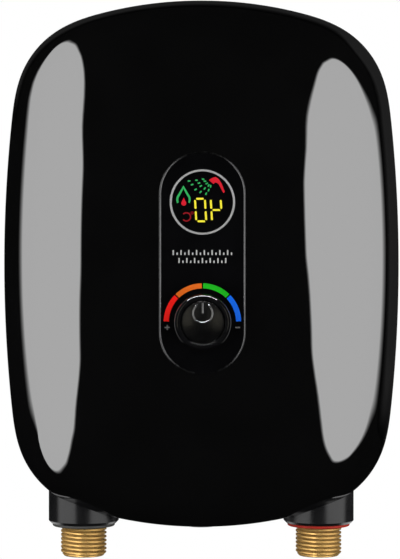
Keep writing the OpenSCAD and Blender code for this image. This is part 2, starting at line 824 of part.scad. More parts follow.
// Shower head, drop and the sign for degrees
module display_red() color("#c81e30") hang() {
  at = [0, display_y];
  shower = [
    [2.8, 9.6], [4.3, 10.6], [5.8, 11], [7.3, 9.9], [8.5, 7.9], [9.8, 4.5],
    [9.2, 3.9], [8.2, 5.7], [7.1, 7.8], [6.3, 8.4], [5.4, 8.5], [4.9, 7.8]
  ];
  drop_place = [-8.15, -0.5];
  drop_at = at + drop_place;
  drop_w = 1.1;
  drop_h = 2.5;
  degree_place = [-7, -6.5];
  degree_at = at + degree_place;
  degree_r = 2.1;
  degree_a = 140;
  small_place = [2.5, 1.7];
  small_at = degree_at + small_place;
  small_r = 0.65;
  translate([at.x, at.y, face_z]) linear_extrude(print_t) polygon(shower);
  translate([drop_at.x, drop_at.y, face_z]) {
    cylinder(r = drop_w, h = print_t);
    linear_extrude(print_t) polygon([[-drop_w, 0], [drop_w, 0], [0, drop_h]]);
  }
  stroke_arc(degree_at, degree_r - icon_stroke, degree_r, -degree_a, degree_a, face_z, print_t);
  stroke_arc(small_at, small_r - icon_stroke / 2, small_r, 0, 360, face_z, print_t);
}

module scale_segment(k) {
  turn = 45;
  stroke_arc([0, knob_y], scale_in_r, scale_out_r, turn * k + scale_gap / 2, turn * (k + 1) - scale_gap / 2,
    face_z, print_t);
}

module scale_blue() color("#1464dc") hang() scale_segment(0);
module scale_green() color("#19b41e") hang() scale_segment(1);
module scale_orange() color("#f0701c") hang() scale_segment(2);
module scale_red() color("#dc1810") hang() scale_segment(3);

// Knob with a hollow hub; its front is rounded and its pocket takes the button
module temperature_knob() color("#101012") hang()
  translate([0, knob_y, 0]) rotate_extrude() polygon(concat(
    [
      [hub_bore_r, hub_z0], [hub_r, hub_z0], [hub_r, clip_z0], [groove_r, clip_z0],
      [groove_r, clip_z0 + clip_t + fit], [hub_r, clip_z0 + clip_t + fit],
      [hub_r, knob_z0], [knob_r, knob_z0]
    ],
    [for (a = [0 : knob_step : 90]) [
      knob_r - knob_shoulder + knob_shoulder * pow(cos(a), 2 / knob_full),
      knob_z1 - knob_shoulder + knob_shoulder * pow(sin(a), 2 / knob_full)
    ]],
    [[pocket_r, knob_z1], [pocket_r, pocket_z], [hub_bore_r, pocket_z]]
  ));

module knob_clip() color("#a8abae") hang()
  translate([0, 0, clip_z0 + fit / 2]) difference() {
    rod_z(0, knob_y, 0, clip_t, clip_r);
    rod_z(0, knob_y, -cut, clip_t + cut, groove_r + run);
  }

module power_button() color("#18181a") hang() {
  rod_z(0, knob_y, button_z0, button_z1, button_r);
  rod_z(0, knob_y, stem_z0, button_z0 + fit, stem_r);
}

module power_symbol() color("#d8dadc") hang() {
  from = 120;
  to = 420;
  at = [0, knob_y + symbol_lift];
  stroke_arc(at, symbol_r - symbol_stroke, symbol_r, from, to, button_z1, print_t);
  stroke_bar(at, at + [0, symbol_r], symbol_stroke, button_z1, print_t);
}

module potentiometer() color("#2b2d30") hang() {
  margin = 5;
  half = clip_r + margin;
  difference() {
    block(-half, half, knob_y - half, knob_y + half, board_front, flange_z0);
    rod_z(0, knob_y, board_front - cut, flange_z0 + cut, hub_r + run);
    rod_z(0, knob_y, board_front - cut, clip_z0 + clip_t + gap, clip_r + gap);
  }
}

module power_switch() color("#1f2328") hang() {
  half = 5.5;
  difference() {
    block(-half, half, knob_y - half, knob_y + half, board_back - switch_depth, board_back);
    rod_z(0, knob_y, stem_z0 - button_travel - cut, board_back + cut, stem_r + fit);
  }
}

module display_module() color("#e6e6e2") hang() {
  margin = 1.5;
  half = display_r + margin;
  block(-half, half, display_y - half, display_y + half, board_front, flange_z0);
}

module display_board() color("#1d5c35") hang()
  difference() {
    block(
      -display_board_w / 2, display_board_w / 2, -post_y - post_r, post_y + post_r, board_back, board_front
    );
    panel_posts(screw_r, board_back - cut, board_front + cut);
    rod_z(0, knob_y, board_back - cut, board_front + cut, stem_r + gap);
  }

module board_screws() color("#b9bcbf") hang() {
  for (sx = [-1, 1], sy = [-1, 1])
    screw_z(sx * post_x, sy * post_y, board_back, board_t + display_depth / 2, flip = true);
  for (x = [main_board_x0 + standoff_inset, main_board_x1 - standoff_inset])
    for (y = [main_board_y + standoff_inset, main_board_y1 - standoff_inset])
      screw_z(x, y, main_top, board_t + main_board_z / 2);
}

// Threaded end, neck, flange and spigot; the thread is drawn as rings at its pitch
module union_fitting(side) color("#c8963c") hang() on_pipe(side) difference() {
  rotate_extrude() polygon(concat(
    [[0, thread_end], [neck_r, thread_end]],
    [for (k = [0 : thread_turns - 1], p = thread_form)
      [neck_r + p[0] * thread_depth, thread_end + thread_lead + (k + p[1]) * thread_pitch]],
    [[neck_r, ring_y0], [neck_r, ledge_y], [union_flange_r, ledge_y], [union_flange_r, union_top],
     [spigot_r, union_top], [spigot_r, union_top + spigot_len], [0, union_top + spigot_len]]
  ));
  translate([0, 0, thread_end - cut]) cylinder(r = union_bore / 2, h = union_bore_len + cut);
  translate([0, 0, thread_end]) cylinder(r = filter_r, h = union_bore_len + filter_t);
  translate([0, 0, thread_end]) cylinder(r = spigot_bore_r, h = union_top + spigot_len + cut - thread_end);
}

module inlet_union() union_fitting(-1);
module outlet_union() union_fitting(1);

module colour_ring(side) hang() on_pipe(side) translate([0, 0, ring_y0]) difference() {
  cylinder(r = ring_d / 2, h = ring_t);
  translate([0, 0, -cut]) cylinder(r = neck_r + fit, h = ring_t + 2 * cut);
}

module inlet_ring() color("#6a6c6e") colour_ring(-1);
module outlet_ring() color("#a83a26") colour_ring(1);

// Round strainer with a ring of drilled holes
module inlet_filter() color("#c4c7ca") hang() on_pipe(-1) translate([0, 0, thread_end + union_bore_len + fit])
  difference() {
    hole_rings = 3;
    hole_step = 1.76;
    hole_r = 0.6;
    cylinder(r = filter_r - fit, h = filter_t - 2 * fit);
    for (ring = [1 : hole_rings], k = [0 : 6 * ring - 1])
      rotate([0, 0, 60 * k / ring]) translate([hole_step * ring, 0, -cut])
        cylinder(r = hole_r, h = filter_t + 2 * cut);
  }

module spider(y) translate([0, 0, y]) difference() {
  union() {
    for (a = [0, 90]) rotate([0, 0, a]) translate([-sensor_bore_r - fit, -spider_t / 2, 0])
      cube([2 * (sensor_bore_r + fit), spider_t, spider_t]);
    cylinder(r = spider_hub_r, h = spider_t);
  }
  translate([0, 0, -cut]) cylinder(r = axle_r, h = spider_t + 2 * cut);
}

module flow_sensor() color("#e9e7df") hang() on_pipe(-1) {
  difference() {
    union() {
      translate([0, 0, union_top]) cylinder(r = sensor_r, h = sensor_len);
      translate([-pickup_w / 2, -(pickup_z - pipe_z), rotor_y0 + rotor_h / 2 - pickup_h / 2])
        cube([pickup_w, sensor_r - sensor_bore_r, pickup_h]);
    }
    translate([0, 0, union_top - cut]) cylinder(r = spigot_r + fit, h = spigot_len + gap + cut);
    translate([0, 0, chamber_y0]) cylinder(r = sensor_bore_r, h = chamber_y1 - chamber_y0);
    translate([0, 0, chamber_y0]) cylinder(r = pipe_bore_r, h = sensor_y1 - chamber_y0 + cut);
  }
  spider(chamber_y0 + spider_inset);
  spider(chamber_y1 - spider_t - spider_inset);
}

module flow_rotor() color("#3a76b8") hang() on_pipe(-1) translate([0, 0, rotor_y0]) {
  blades = 6;
  blade_t = 1;
  blade_root = rotor_hub_r - gap;
  difference() {
    union() {
      cylinder(r = rotor_hub_r, h = rotor_h);
      for (k = [0 : blades - 1])
        rotate([0, 0, 360 * k / blades]) translate([blade_root, -blade_t / 2, blade_t])
          cube([rotor_r - blade_root, blade_t, rotor_h - 2 * blade_t]);
    }
    translate([0, 0, -cut]) cylinder(r = axle_r + run, h = rotor_h + 2 * cut);
  }
}

module rotor_axle() color("#c9ccd0") hang() on_pipe(-1)
  translate([0, 0, chamber_y0 + gap]) cylinder(r = axle_r - run / 2, h = chamber_y1 - chamber_y0 - 2 * gap);

module flow_pickup() color("#17191c") hang()
  translate([-union_span / 2 - pickup_w / 2, rotor_y0 + rotor_h / 2 - pickup_h / 2, pickup_z])
    cube([pickup_w, pickup_h, pickup_t]);

// A quarter bend of pipe about a point
module bend(at, from) translate([at.x, at.y, pipe_z]) rotate([0, 0, from]) rotate_extrude(angle = 90)
  translate([bend_r, 0]) circle(r = pipe_r);

module bend_bore(at, from) translate([at.x, at.y, pipe_z]) rotate([0, 0, from]) rotate_extrude(angle = 90)
  translate([bend_r, 0]) circle(r = pipe_bore_r);

module inlet_pipe() color("#b5683c") hang() {
  x = -union_span / 2;
  at = [x + bend_r, inlet_y - bend_r];
  difference() {
    union() {
      rod_y(x, sensor_y1, at.y, pipe_z, pipe_r);
      bend(at, 90);
      rod_x(at.x, -port_reach, inlet_y, pipe_z, pipe_r);
    }
    rod_y(x, sensor_y1 - cut, at.y, pipe_z, pipe_bore_r);
    bend_bore(at, 90);
    rod_x(at.x, -port_reach + cut, inlet_y, pipe_z, pipe_bore_r);
  }
}

module outlet_pipe() color("#b5683c") hang() {
  x = union_span / 2;
  at = [x - bend_r, outlet_y - bend_r];
  difference() {
    union() {
      rod_y(x, union_top, at.y, pipe_z, pipe_r);
      bend(at, 0);
      rod_x(port_reach, at.x, outlet_y, pipe_z, pipe_r);
    }
    rod_y(x, union_top - cut, at.y, pipe_z, pipe_bore_r);
    bend_bore(at, 0);
    rod_x(port_reach - cut, at.x, outlet_y, pipe_z, pipe_bore_r);
  }
}

// Round plate with an ear for a screw on each side
module eared_plate(y0, y1) {
  rod_y(0, y0, y1, pipe_z, tank_flange_r);
  for (side = [-1, 1]) rod_y(side * ear_x, y0, y1, pipe_z, ear_r);
  block(-ear_x, ear_x, y0, y1, pipe_z - ear_r, pipe_z + ear_r);
}

module ear_holes(y0, y1, r)
  for (side = [-1, 1]) rod_y(side * ear_x, y0, y1, pipe_z, r);

module heating_tank() color("#b9bdc1") hang()
  difference() {
    union() {
      rod_y(0, tank_y0, tank_y1, pipe_z, tank_r);
      eared_plate(tank_y1 - tank_flange_t, tank_y1);
      rod_x(-port_reach, 0, inlet_y, pipe_z, port_r);
      rod_x(0, port_reach, outlet_y, pipe_z, port_r);
      for (y = [cutout_y, triac_y]) block(-pad_w / 2, pad_w / 2, y - pad_h / 2, y + pad_h / 2, pipe_z, pad_z);
    }
    rod_y(0, tank_y0 + tank_wall, tank_y1 + cut, pipe_z, tank_r - tank_wall);
    rod_x(-port_reach - cut, 0, inlet_y, pipe_z, pipe_bore_r);
    rod_x(0, port_reach + cut, outlet_y, pipe_z, pipe_bore_r);
    ear_holes(tank_y1 - tank_flange_t - cut, tank_y1 + cut, screw_r);
  }

module flange_seal() color("#b04a34") hang()
  difference() {
    rod_y(0, seal_y0, element_flange_y0, pipe_z, tank_flange_r - gap);
    rod_y(0, seal_y0 - cut, element_flange_y0 + cut, pipe_z, tank_r - tank_wall);
  }

// Calls its children at the four legs of the two heating tubes
module at_legs()
  for (sx = [-1, 1], sz = [-1, 1]) translate([sx * element_half, 0, pipe_z + sz * element_half]) children();

module element_flange() color("#c9a85a") hang()
  difference() {
    eared_plate(element_flange_y0, element_flange_y1);
    at_legs() rod_y(0, element_flange_y0 - cut, element_flange_y1 + cut, 0, element_r + fit);
    ear_holes(element_flange_y0 - cut, element_flange_y1 + cut, screw_r);
  }

module flange_screws() color("#b9bcbf") hang()
  for (side = [-1, 1]) translate([side * ear_x, element_flange_y1, pipe_z]) rotate([-90, 0, 0])
    screw_z(0, 0, 0, element_flange_t + flange_seal_t + tank_flange_t);

module heating_elements() color("#8d9094") hang()
  for (sz = [-1, 1]) {
    bend_y = tank_y0 + tank_wall + element_clear + element_half + element_r;
    z = pipe_z + sz * element_half;
    for (sx = [-1, 1]) rod_y(sx * element_half, bend_y, element_top, z, element_r);
    translate([0, bend_y, z]) rotate([0, 0, 180]) rotate_extrude(angle = 180)
      translate([element_half, 0]) circle(r = element_r);
  }

module element_terminals() color("#d9d6cc") hang()
  at_legs() {
    rod_y(0, element_top, element_top + terminal_len / 3, 0, element_r - gap);
    rod_y(0, element_top + terminal_len / 3 - fit, element_top + terminal_len, 0, element_r / 2);
  }

module thermal_cutout() color("#ded9c8") hang()
  difference() {
    rod_z(0, cutout_y, pad_z, pad_z + cutout_h, cutout_r);
    rod_z(0, cutout_y, reset_z0 - reset_travel - gap, pad_z + cutout_h + cut, reset_r + fit);
  }

module reset_pin() color("#c23a2c") hang() rod_z(0, cutout_y, reset_z0, reset_z1, reset_r);

module temperature_sensor() color("#26282b") hang() {
  x = union_span / 2;
  strap_h = 9;
  strap_wall = 1.8;
  probe_w = 6;
  probe_h = 4;
  mouth_x = pipe_r - 2;
  difference() {
    union() {
      rod_y(x, -strap_h / 2, strap_h / 2, pipe_z, pipe_r + fit + strap_wall);
      block(x - probe_w / 2, x + probe_w / 2, -strap_h / 2, strap_h / 2,
        pipe_z, pipe_z + pipe_r + strap_wall + probe_h);
    }
    rod_y(x, -strap_h, strap_h, pipe_z, pipe_r + fit);
    block(x - mouth_x, x + mouth_x, -strap_h, strap_h, pipe_z - 2 * pipe_r, pipe_z);
  }
}

module triac() color("#141517") hang() {
  case_w = 10.2;
  case_h = 9;
  case_t = 4;
  tab_t = 1.3;
  block(-case_w / 2, case_w / 2, triac_y - case_h / 2, triac_y + case_h / 2, pad_z, pad_z + case_t);
  block(-case_w / 2, case_w / 2, triac_y - pad_h / 2, triac_y + case_h / 2, pad_z, pad_z + tab_t);
}

module main_board() color("#1f6b3a") hang() {
  difference() {
    block(main_board_x0, main_board_x1, main_board_y, main_board_y1, main_board_z, main_top);
    standoffs(screw_r, main_board_z - cut, main_top + cut);
  }
  block(socket_x - socket_w / 2, socket_x + socket_w / 2, main_board_y, main_board_y + socket_h,
    main_top - fit, main_top + socket_d);
  block(socket_x - socket_w / 2, socket_x + socket_w / 2, main_board_y1 - socket_h, main_board_y1,
    main_top - fit, main_top + socket_d);
}

module relay() color("#1d3f86") hang() {
  side_gap = 3;
  top_gap = 18;
  translate([main_board_x0 + side_gap, main_board_y1 - top_gap - relay_h, main_top])
    cube([relay_w, relay_h, relay_d]);
}

module transformer() color("#3a3226") hang() {
  coil_rise = 2;
  side_gap = 2;
  foot_gap = 14;
  x = main_board_x1 - side_gap - coil_w;
  y = main_board_y + foot_gap;
  translate([x + (coil_w - core_w) / 2, y, main_top]) cube([core_w, core_h, core_d]);
  translate([x, y + (core_h - coil_h) / 2, main_top + coil_rise]) cube([coil_w, coil_h, coil_d]);
}

module capacitors() color("#27427a") hang() {
  x = main_board_x0 + can_r + can_short / 4;
  y = main_board_y + can_tall - can_r / 2;
  rod_z(x, y, main_top, main_top + can_tall, can_r);
  rod_z(x, y + 2 * can_r + can_gap, main_top, main_top + can_short, can_r);
}

module terminal_block() color("#e3ded0") hang()
  difference() {
    block(-terminal_w / 2, terminal_w / 2, terminal_y, terminal_top, wall, wall + terminal_d);
    for (k = [-1 : 1]) {
      rod_z(k * terminal_pitch, terminal_y + terminal_h / 2, wall + terminal_floor, wall + terminal_d + cut,
        terminal_screw_r + fit);
      rod_y(k * terminal_pitch, terminal_y - cut, terminal_y + terminal_entry, wall + terminal_d / 2,
        terminal_screw_r);
    }
  }

module terminal_screws() color("#c9b06a") hang()
  for (k = [-1 : 1])
    rod_z(k * terminal_pitch, terminal_y + terminal_h / 2, wall + terminal_floor,
      wall + terminal_d - terminal_sink, terminal_screw_r);

module mains_leads() color("#7a4a2a") hang() {
  lead(live_route);
  lead(neutral_route);
}

module element_leads() color("#a33127") hang() lead(element_route);

module earth_lead() color("#6f9a2e") hang() lead(earth_route, [1, 0, 0]);

// Flat ribbon standing on the main board and folded over to the display board's edge
module display_ribbon() color("#8c8f93") hang() {
  top = board_back - ribbon_t;
  block(ribbon_x, ribbon_x + ribbon_t, ribbon_y, ribbon_y + ribbon_w, main_top, top + ribbon_t);
  block(ribbon_x, -display_board_w / 2 + ribbon_lap, ribbon_y, ribbon_y + ribbon_w, top, top + ribbon_t);
}

rear_housing();
front_cover();
casing_seal();
cover_screws();
cable_grommet();
control_panel();
panel_trim();
panel_marks();
display_ring();
display_window();
display_digits();
display_green();
display_red();
scale_red();
scale_orange();
scale_green();
scale_blue();
temperature_knob();
knob_clip();
power_button();
power_symbol();
potentiometer();
power_switch();
display_module();
display_board();
board_screws();
inlet_union();
outlet_union();
inlet_ring();
outlet_ring();
inlet_filter();
flow_sensor();
flow_rotor();
rotor_axle();
flow_pickup();
inlet_pipe();
outlet_pipe();
heating_tank();
flange_seal();
element_flange();
flange_screws();
heating_elements();
element_terminals();
thermal_cutout();
reset_pin();
temperature_sensor();
triac();
main_board();
relay();
transformer();
capacitors();
terminal_block();
terminal_screws();
mains_leads();
element_leads();
earth_lead();
display_ribbon();
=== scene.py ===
import json
import math

import bmesh
import bpy
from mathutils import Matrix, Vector


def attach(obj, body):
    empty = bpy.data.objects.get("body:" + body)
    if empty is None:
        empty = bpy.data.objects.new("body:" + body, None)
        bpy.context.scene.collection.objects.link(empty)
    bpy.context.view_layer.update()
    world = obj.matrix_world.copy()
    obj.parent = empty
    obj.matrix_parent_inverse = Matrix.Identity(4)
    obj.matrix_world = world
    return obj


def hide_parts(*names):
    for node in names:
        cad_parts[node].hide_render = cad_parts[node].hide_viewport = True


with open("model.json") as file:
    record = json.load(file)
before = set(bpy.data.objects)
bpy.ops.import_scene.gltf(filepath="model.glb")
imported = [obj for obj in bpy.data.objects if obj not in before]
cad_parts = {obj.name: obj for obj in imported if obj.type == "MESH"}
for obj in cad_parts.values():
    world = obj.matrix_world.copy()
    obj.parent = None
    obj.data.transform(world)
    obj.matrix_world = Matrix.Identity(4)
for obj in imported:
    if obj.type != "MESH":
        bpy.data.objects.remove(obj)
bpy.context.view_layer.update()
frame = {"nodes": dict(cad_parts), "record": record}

SCENE = bpy.context.scene
MM = 0.001
WHITE = (1, 1, 1, 1)

# Sizes in millimetres, in the front view of the part's source: x right, y up, z out from the wall
HALF_W = 90.0
HALF_H = 120.0
BODY_D = 66.0
SEAM_Z = 28.2
WALL = 2.8
BOW_R = 625.0
ARCH_R = 185.0
CORNER_R = 42.0  # before it is eased
EASE = 12.0  # the turn is averaged over this much to either side
DOME_FULL = 3.3  # fullness of a curve: 2 is an ellipse, more is squarer
OVAL_FULL = 3.05
FIT = 0.1
GAP = 0.3

PANEL_R = 18.5
PANEL_STRAIGHT = 30.2
LAND_W = 5.0
FLANGE_Z0 = 61.2
FLANGE_Z1 = 63.2
TRIM_W = 0.4
TRIM_Z1 = 66.95
DISPLAY_Y = 26.7
DISPLAY_R = 14.3
DISPLAY_RING_W = 0.9
DISPLAY_RING_Z = 67.05

KNOB_Y = -25.8
KNOB_R = 12.3
KNOB_SHOULDER = 1.5
KNOB_FULL = 2.2
KNOB_Z0 = 67.3
KNOB_Z1 = 78.8
POCKET_R = 9.7
POCKET_Z = 75.1
HUB_R = 4.4
HUB_BORE_R = 2.5
HUB_Z0 = 52.8
GROOVE_R = 3.8
CLIP_Z0 = 53.7
CLIP_T = 1.1

BUTTON_R = 9.4
BUTTON_Z0 = 76.9
BUTTON_Z1 = 79.1
CAP_FALL = 0.8
STEM_R = 2.2
STEM_Z0 = 49.1
SYMBOL_R = 4.6
SYMBOL_LIFT = 4.0
SYMBOL_STROKE = 0.8

PIPE_X = 54.0
PIPE_Z = 22.0
SLEEVE_R = 16.1
SLEEVE_Y0 = -118.9
SLEEVE_Y1 = -91.5
RING_R = 14.3
RING_Y0 = -120.3
THREAD_R = 10.4775
NECK_R = 9.3175
PITCH = 1.814
TURNS = 7
THREAD_LEAD = 1.0
THREAD_END = RING_Y0 - TURNS * PITCH - THREAD_LEAD
UNION_BORE_R = 7.5
UNION_BORE_LEN = 13.0
UNION_BORE_Y1 = THREAD_END + UNION_BORE_LEN
FILTER_R = 6.7
FILTER_SEAT_LEN = 1.2
FILTER_SEAT_Y1 = UNION_BORE_Y1 + FILTER_SEAT_LEN
LEDGE_Y = -104.0
UNION_TOP = -99.0
UNION_FLANGE_R = 13.2
SPIGOT_R = 5.1
SPIGOT_BORE_R = 3.7
SPIGOT_LEN = 8.0
SPIGOT_TOP = UNION_TOP + SPIGOT_LEN

GROMMET_Z = 18.5
GROMMET_Y0 = -120.8
GROMMET_Y1 = -116.144
GROMMET_NECK_Y0 = -120.1
GROMMET_NECK_Y1 = -116.944
GROMMET_NECK_R = 5.8
GROMMET_FLANGE_R = 7.6
CABLE_R = 4.0

SCREW_SPOTS = ((55.3, 80.8), (-55.3, 80.8), (22.1, -92.5), (-22.1, -92.5))
SCREW_R = 1.3
SCREW_TIP_R = 0.2
SCREW_HEAD_R = 2.8
SCREW_HEAD_H = 1.8
SCREW_Z = 21.0
SCREW_LEN = 15.0

# Closeness in metres at which points of a mesh become one, and at which a face is too thin to keep
MERGE = 1e-6
THIN = 1e-7


# From the front view to the frame, in metres
def at(x, y, z):
    return (x * MM, -z * MM, y * MM)


# Outline of the casing: side, corner and arch, with the turn eased where they meet

# The corner's arc touches the side's arc and the arch from inside
def corner_centre():
    side_x, arch_y = HALF_W - BOW_R, HALF_H - ARCH_R
    side_reach, arch_reach = BOW_R - CORNER_R, ARCH_R - CORNER_R
    apart = math.hypot(side_x, arch_y)
    toward_x, toward_y = -side_x / apart, arch_y / apart
    along = (side_reach ** 2 - arch_reach ** 2 + apart ** 2) / (2 * apart)
    across = math.sqrt(side_reach ** 2 - along ** 2)
    return side_x + along * toward_x - across * toward_y, along * toward_y + across * toward_x


CORNER_X, CORNER_Y = corner_centre()
CORNER_FROM = math.atan2(CORNER_Y, CORNER_X - HALF_W + BOW_R)
CORNER_TO = math.atan2(CORNER_Y - HALF_H + ARCH_R, CORNER_X)
ARCS = (
    (BOW_R, 0.0, CORNER_FROM),
    (CORNER_R, CORNER_FROM, CORNER_TO),
    (ARCH_R, CORNER_TO, math.pi / 2),
)
QUARTER = sum(r * (b - a) for r, a, b in ARCS)


# Turn of the outline after a length along it, from its right-hand point upwards
def heading(length):
    if length < 0:
        return -heading(-length)
    if length > QUARTER:
        return math.pi - heading(2 * QUARTER - length)
    for r, a, b in ARCS:
        if length <= r * (b - a):
            return a + length / r
        length -= r * (b - a)
    return math.pi / 2


def eased(length, parts=24):
    return sum(heading(length + EASE * (2 * k + 1 - parts) / parts) for k in range(parts)) / parts


# Points of the upper right quarter with the turn at each, closer together where it turns more
def quarter_outline(stations=58, fine=1160):
    step = QUARTER / fine
    x, y = 0.0, 0.0
    track = [(x, y, 0.0)]
    for k in range(fine):
        turn = eased((k + 0.5) * step)
        x -= math.sin(turn) * step
        y += math.cos(turn) * step
        track.append((x, y, eased((k + 1) * step)))
    wide, high = HALF_W / -x, HALF_H / y
    slack = 1e-9
    chosen = []
    for k, (px, py, turn) in enumerate(track):
        share = (k / fine + 2 * turn / math.pi) / 2
        if share >= len(chosen) / stations - slack:
            chosen.append(((px - x) * wide, py * high, turn))
    return chosen


OUTLINE = quarter_outline()


def rim(inset):
    quarter = [(x - inset * math.cos(t), y - inset * math.sin(t)) for x, y, t in OUTLINE]
    there = quarter[1:-1]
    back = there[::-1]
    ring = [(HALF_W - inset, 0.0)] + there
    ring += [(0.0, HALF_H - inset)] + [(-x, y) for x, y in back]
    ring += [(inset - HALF_W, 0.0)] + [(-x, -y) for x, y in there]
    ring += [(0.0, inset - HALF_H)] + [(x, -y) for x, y in back]
    return ring


# The dome starts from an oval round the panel
def on_oval(x, y):
    wide, high = PANEL_R + LAND_W, PANEL_STRAIGHT + PANEL_R + LAND_W
    scale = (abs(x / wide) ** OVAL_FULL + abs(y / high) ** OVAL_FULL) ** (-1 / OVAL_FULL)
    return x * scale, y * scale


# Where the line from the middle through a point meets a stadium of this radius
def on_stadium(x, y, r):
    length = math.hypot(x, y)
    c, s = abs(x) / length, abs(y) / length
    if s * r <= PANEL_STRAIGHT * c:
        reach = r / c
    else:
        reach = PANEL_STRAIGHT * s + math.sqrt(r * r - PANEL_STRAIGHT ** 2 * c * c)
    return x / length * reach, y / length * reach


# Shells of faces

# Faces between rings that have the same count of points
def loft(rings, loop=False, caps=False):
    count, n = len(rings), len(rings[0])
    verts = [p for ring in rings for p in ring]
    faces = []
    for j in range(count if loop else count - 1):
        a = j * n
        b = (j + 1) % count * n
        for k in range(n):
            m = (k + 1) % n
            faces.append((a + k, a + m, b + m, b + k))
    if caps:
        faces.append(tuple(range(n)))
        faces.append(tuple(range((count - 1) * n, count * n)))
    return verts, faces


# A profile of radius and height, turned round an axis along y or z
def turned(profile, centre, along="y", steps=96, loop=True, caps=False):
    rings = []
    for r, h in profile:
        ring = []
        for k in range(steps):
            t = 2 * math.pi * k / steps
            u, v = centre[0] + r * math.cos(t), centre[1] + r * math.sin(t)
            ring.append((u, h, v) if along == "y" else (u, v, h))
        rings.append(ring)
    return loft(rings, loop=loop, caps=caps)


# Direction and length from one point to another
def toward(start, end):
    x, y = end[0] - start[0], end[1] - start[1]
    length = math.hypot(x, y)
    return x / length, y / length, length


# A closed profile; a corner with a third value is rounded by that radius, over less than half of each side
def rounded(corners, steps=5, most=0.49):
    profile = []
    for k, corner in enumerate(corners):
        x, y = corner[:2]
        if len(corner) == 2:
            profile.append((x, y))
            continue
        ax, ay, before = toward(corner, corners[k - 1])
        bx, by, after = toward(corner, corners[(k + 1) % len(corners)])
        half = math.acos(max(-1, min(1, ax * bx + ay * by))) / 2
        reach = min(corner[2] / math.tan(half), most * before, most * after)
        r = reach * math.tan(half)
        mx, my, _ = toward((0, 0), (ax + bx, ay + by))
        cx, cy = x + mx * r / math.sin(half), y + my * r / math.sin(half)
        start = math.atan2(y + ay * reach - cy, x + ax * reach - cx)
        end = math.atan2(y + by * reach - cy, x + bx * reach - cx)
        sweep = math.remainder(end - start, math.tau)
        for j in range(steps + 1):
            t = start + sweep * j / steps
            profile.append((cx + r * math.cos(t), cy + r * math.sin(t)))
    return profile


def new_mesh(name, shells):
    bm = bmesh.new()
    for verts, faces in shells:
        made = [bm.verts.new(at(*v)) for v in verts]
        for face in faces:
            bm.faces.new([made[i] for i in face])
    bmesh.ops.remove_doubles(bm, verts=bm.verts, dist=MERGE)
    bmesh.ops.dissolve_degenerate(bm, dist=THIN, edges=bm.edges)
    bmesh.ops.recalc_face_normals(bm, faces=bm.faces)
    mesh = bpy.data.meshes.new(name)
    bm.to_mesh(mesh)
    bm.free()
    return mesh


# Takes the cut shells away from an object's mesh
def cut_away(obj, cuts):
    tools = []
    for k, shell in enumerate(cuts):
        name = f"{obj.name}_cut_{k}"
        tool = bpy.data.objects.new(name, new_mesh(name, [shell]))
        SCENE.collection.objects.link(tool)
        cut = obj.modifiers.new("cut", "BOOLEAN")
        cut.operation = "DIFFERENCE"
        cut.solver = "EXACT"
        cut.object = tool
        tools.append(tool)
    bpy.context.view_layer.update()
    graph = bpy.context.evaluated_depsgraph_get()
    mesh = bpy.data.meshes.new_from_object(obj.evaluated_get(graph))
    obj.modifiers.clear()
    obj.data = mesh
    for tool in tools:
        bpy.data.objects.remove(tool)


# A finer mesh in place of some solids; edges steeper than the sharp angle stay sharp
def add_piece(name, shells, slot, body="casing", nodes=(), cuts=(), sharp=38):
    obj = bpy.data.objects.new(name, new_mesh(name, shells))
    SCENE.collection.objects.link(obj)
    if cuts:
        cut_away(obj, cuts)
    obj.data.shade_smooth()
    obj.data.set_sharp_from_angle(angle=math.radians(sharp))
    obj.data.materials.clear()
    obj.data.materials.append(FINISH[slot])
    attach(obj, body)
    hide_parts(*nodes)
    return obj


# Nodes

# Fills a node's sockets: another node's output is linked, and a value is set
def fill(tree, node, sockets):
    for socket, value in sockets.items():
        if isinstance(value, bpy.types.NodeSocket):
            tree.links.new(value, node.inputs[socket])
        else:
            node.inputs[socket].default_value = value


def add_node(tree, kind, sockets=None, **settings):
    node = tree.nodes.new(kind)
    for setting, value in settings.items():
        setattr(node, setting, value)
    fill(tree, node, sockets or {})
    return node


# A value carried from one range to another, and held at its ends
def ranged(tree, value, from_low, from_high, to_low, to_high, curve="LINEAR"):
    node = add_node(tree, "ShaderNodeMapRange", {
        "Value": value, "From Min": from_low, "From Max": from_high, "To Min": to_low, "To Max": to_high,
    }, interpolation_type=curve)
    return node.outputs["Result"]


def noise(tree, place, scale, detail, rough=0.6):
    node = add_node(tree, "ShaderNodeTexNoise", {
        "Vector": place, "Scale": scale, "Detail": detail, "Roughness": rough,
    })
    return node.outputs["Fac"]


def node_material(name):
    mat = bpy.data.materials.new(name)
    mat.use_nodes = True
    return mat, mat.node_tree, mat.node_tree.nodes["Principled BSDF"]


# Finishes: each has its own colour drift, gloss drift and grain

COLOUR_DETAIL, GLOSS_DETAIL, BUMP_DETAIL = 5, 4, 3
COLOUR_SPAN = (0.3, 0.72)
GLOSS_SPAN = (0.3, 0.7)
BUMP_HEIGHT = 0.0003
PLASTIC_IOR = 1.5
DUST_CELLS = 900
DUST_SPAN = (0.02, 0.09)
DUST_COLOUR = (0.3, 0.3, 0.29, 1)
MIX_A, MIX_B, MIX_RESULT = 6, 7, 2  # places of the colour sockets in a mix node


def dusted(tree, place, colour, amount):
    cells = add_node(tree, "ShaderNodeTexVoronoi", {"Vector": place, "Scale": DUST_CELLS})
    specks = ranged(tree, cells.outputs["Distance"], *DUST_SPAN, amount, 0.0)
    sockets = {"Factor": specks, MIX_A: colour, MIX_B: DUST_COLOUR}
    mix = add_node(tree, "ShaderNodeMix", sockets, data_type="RGBA")
    return mix.outputs[MIX_RESULT]


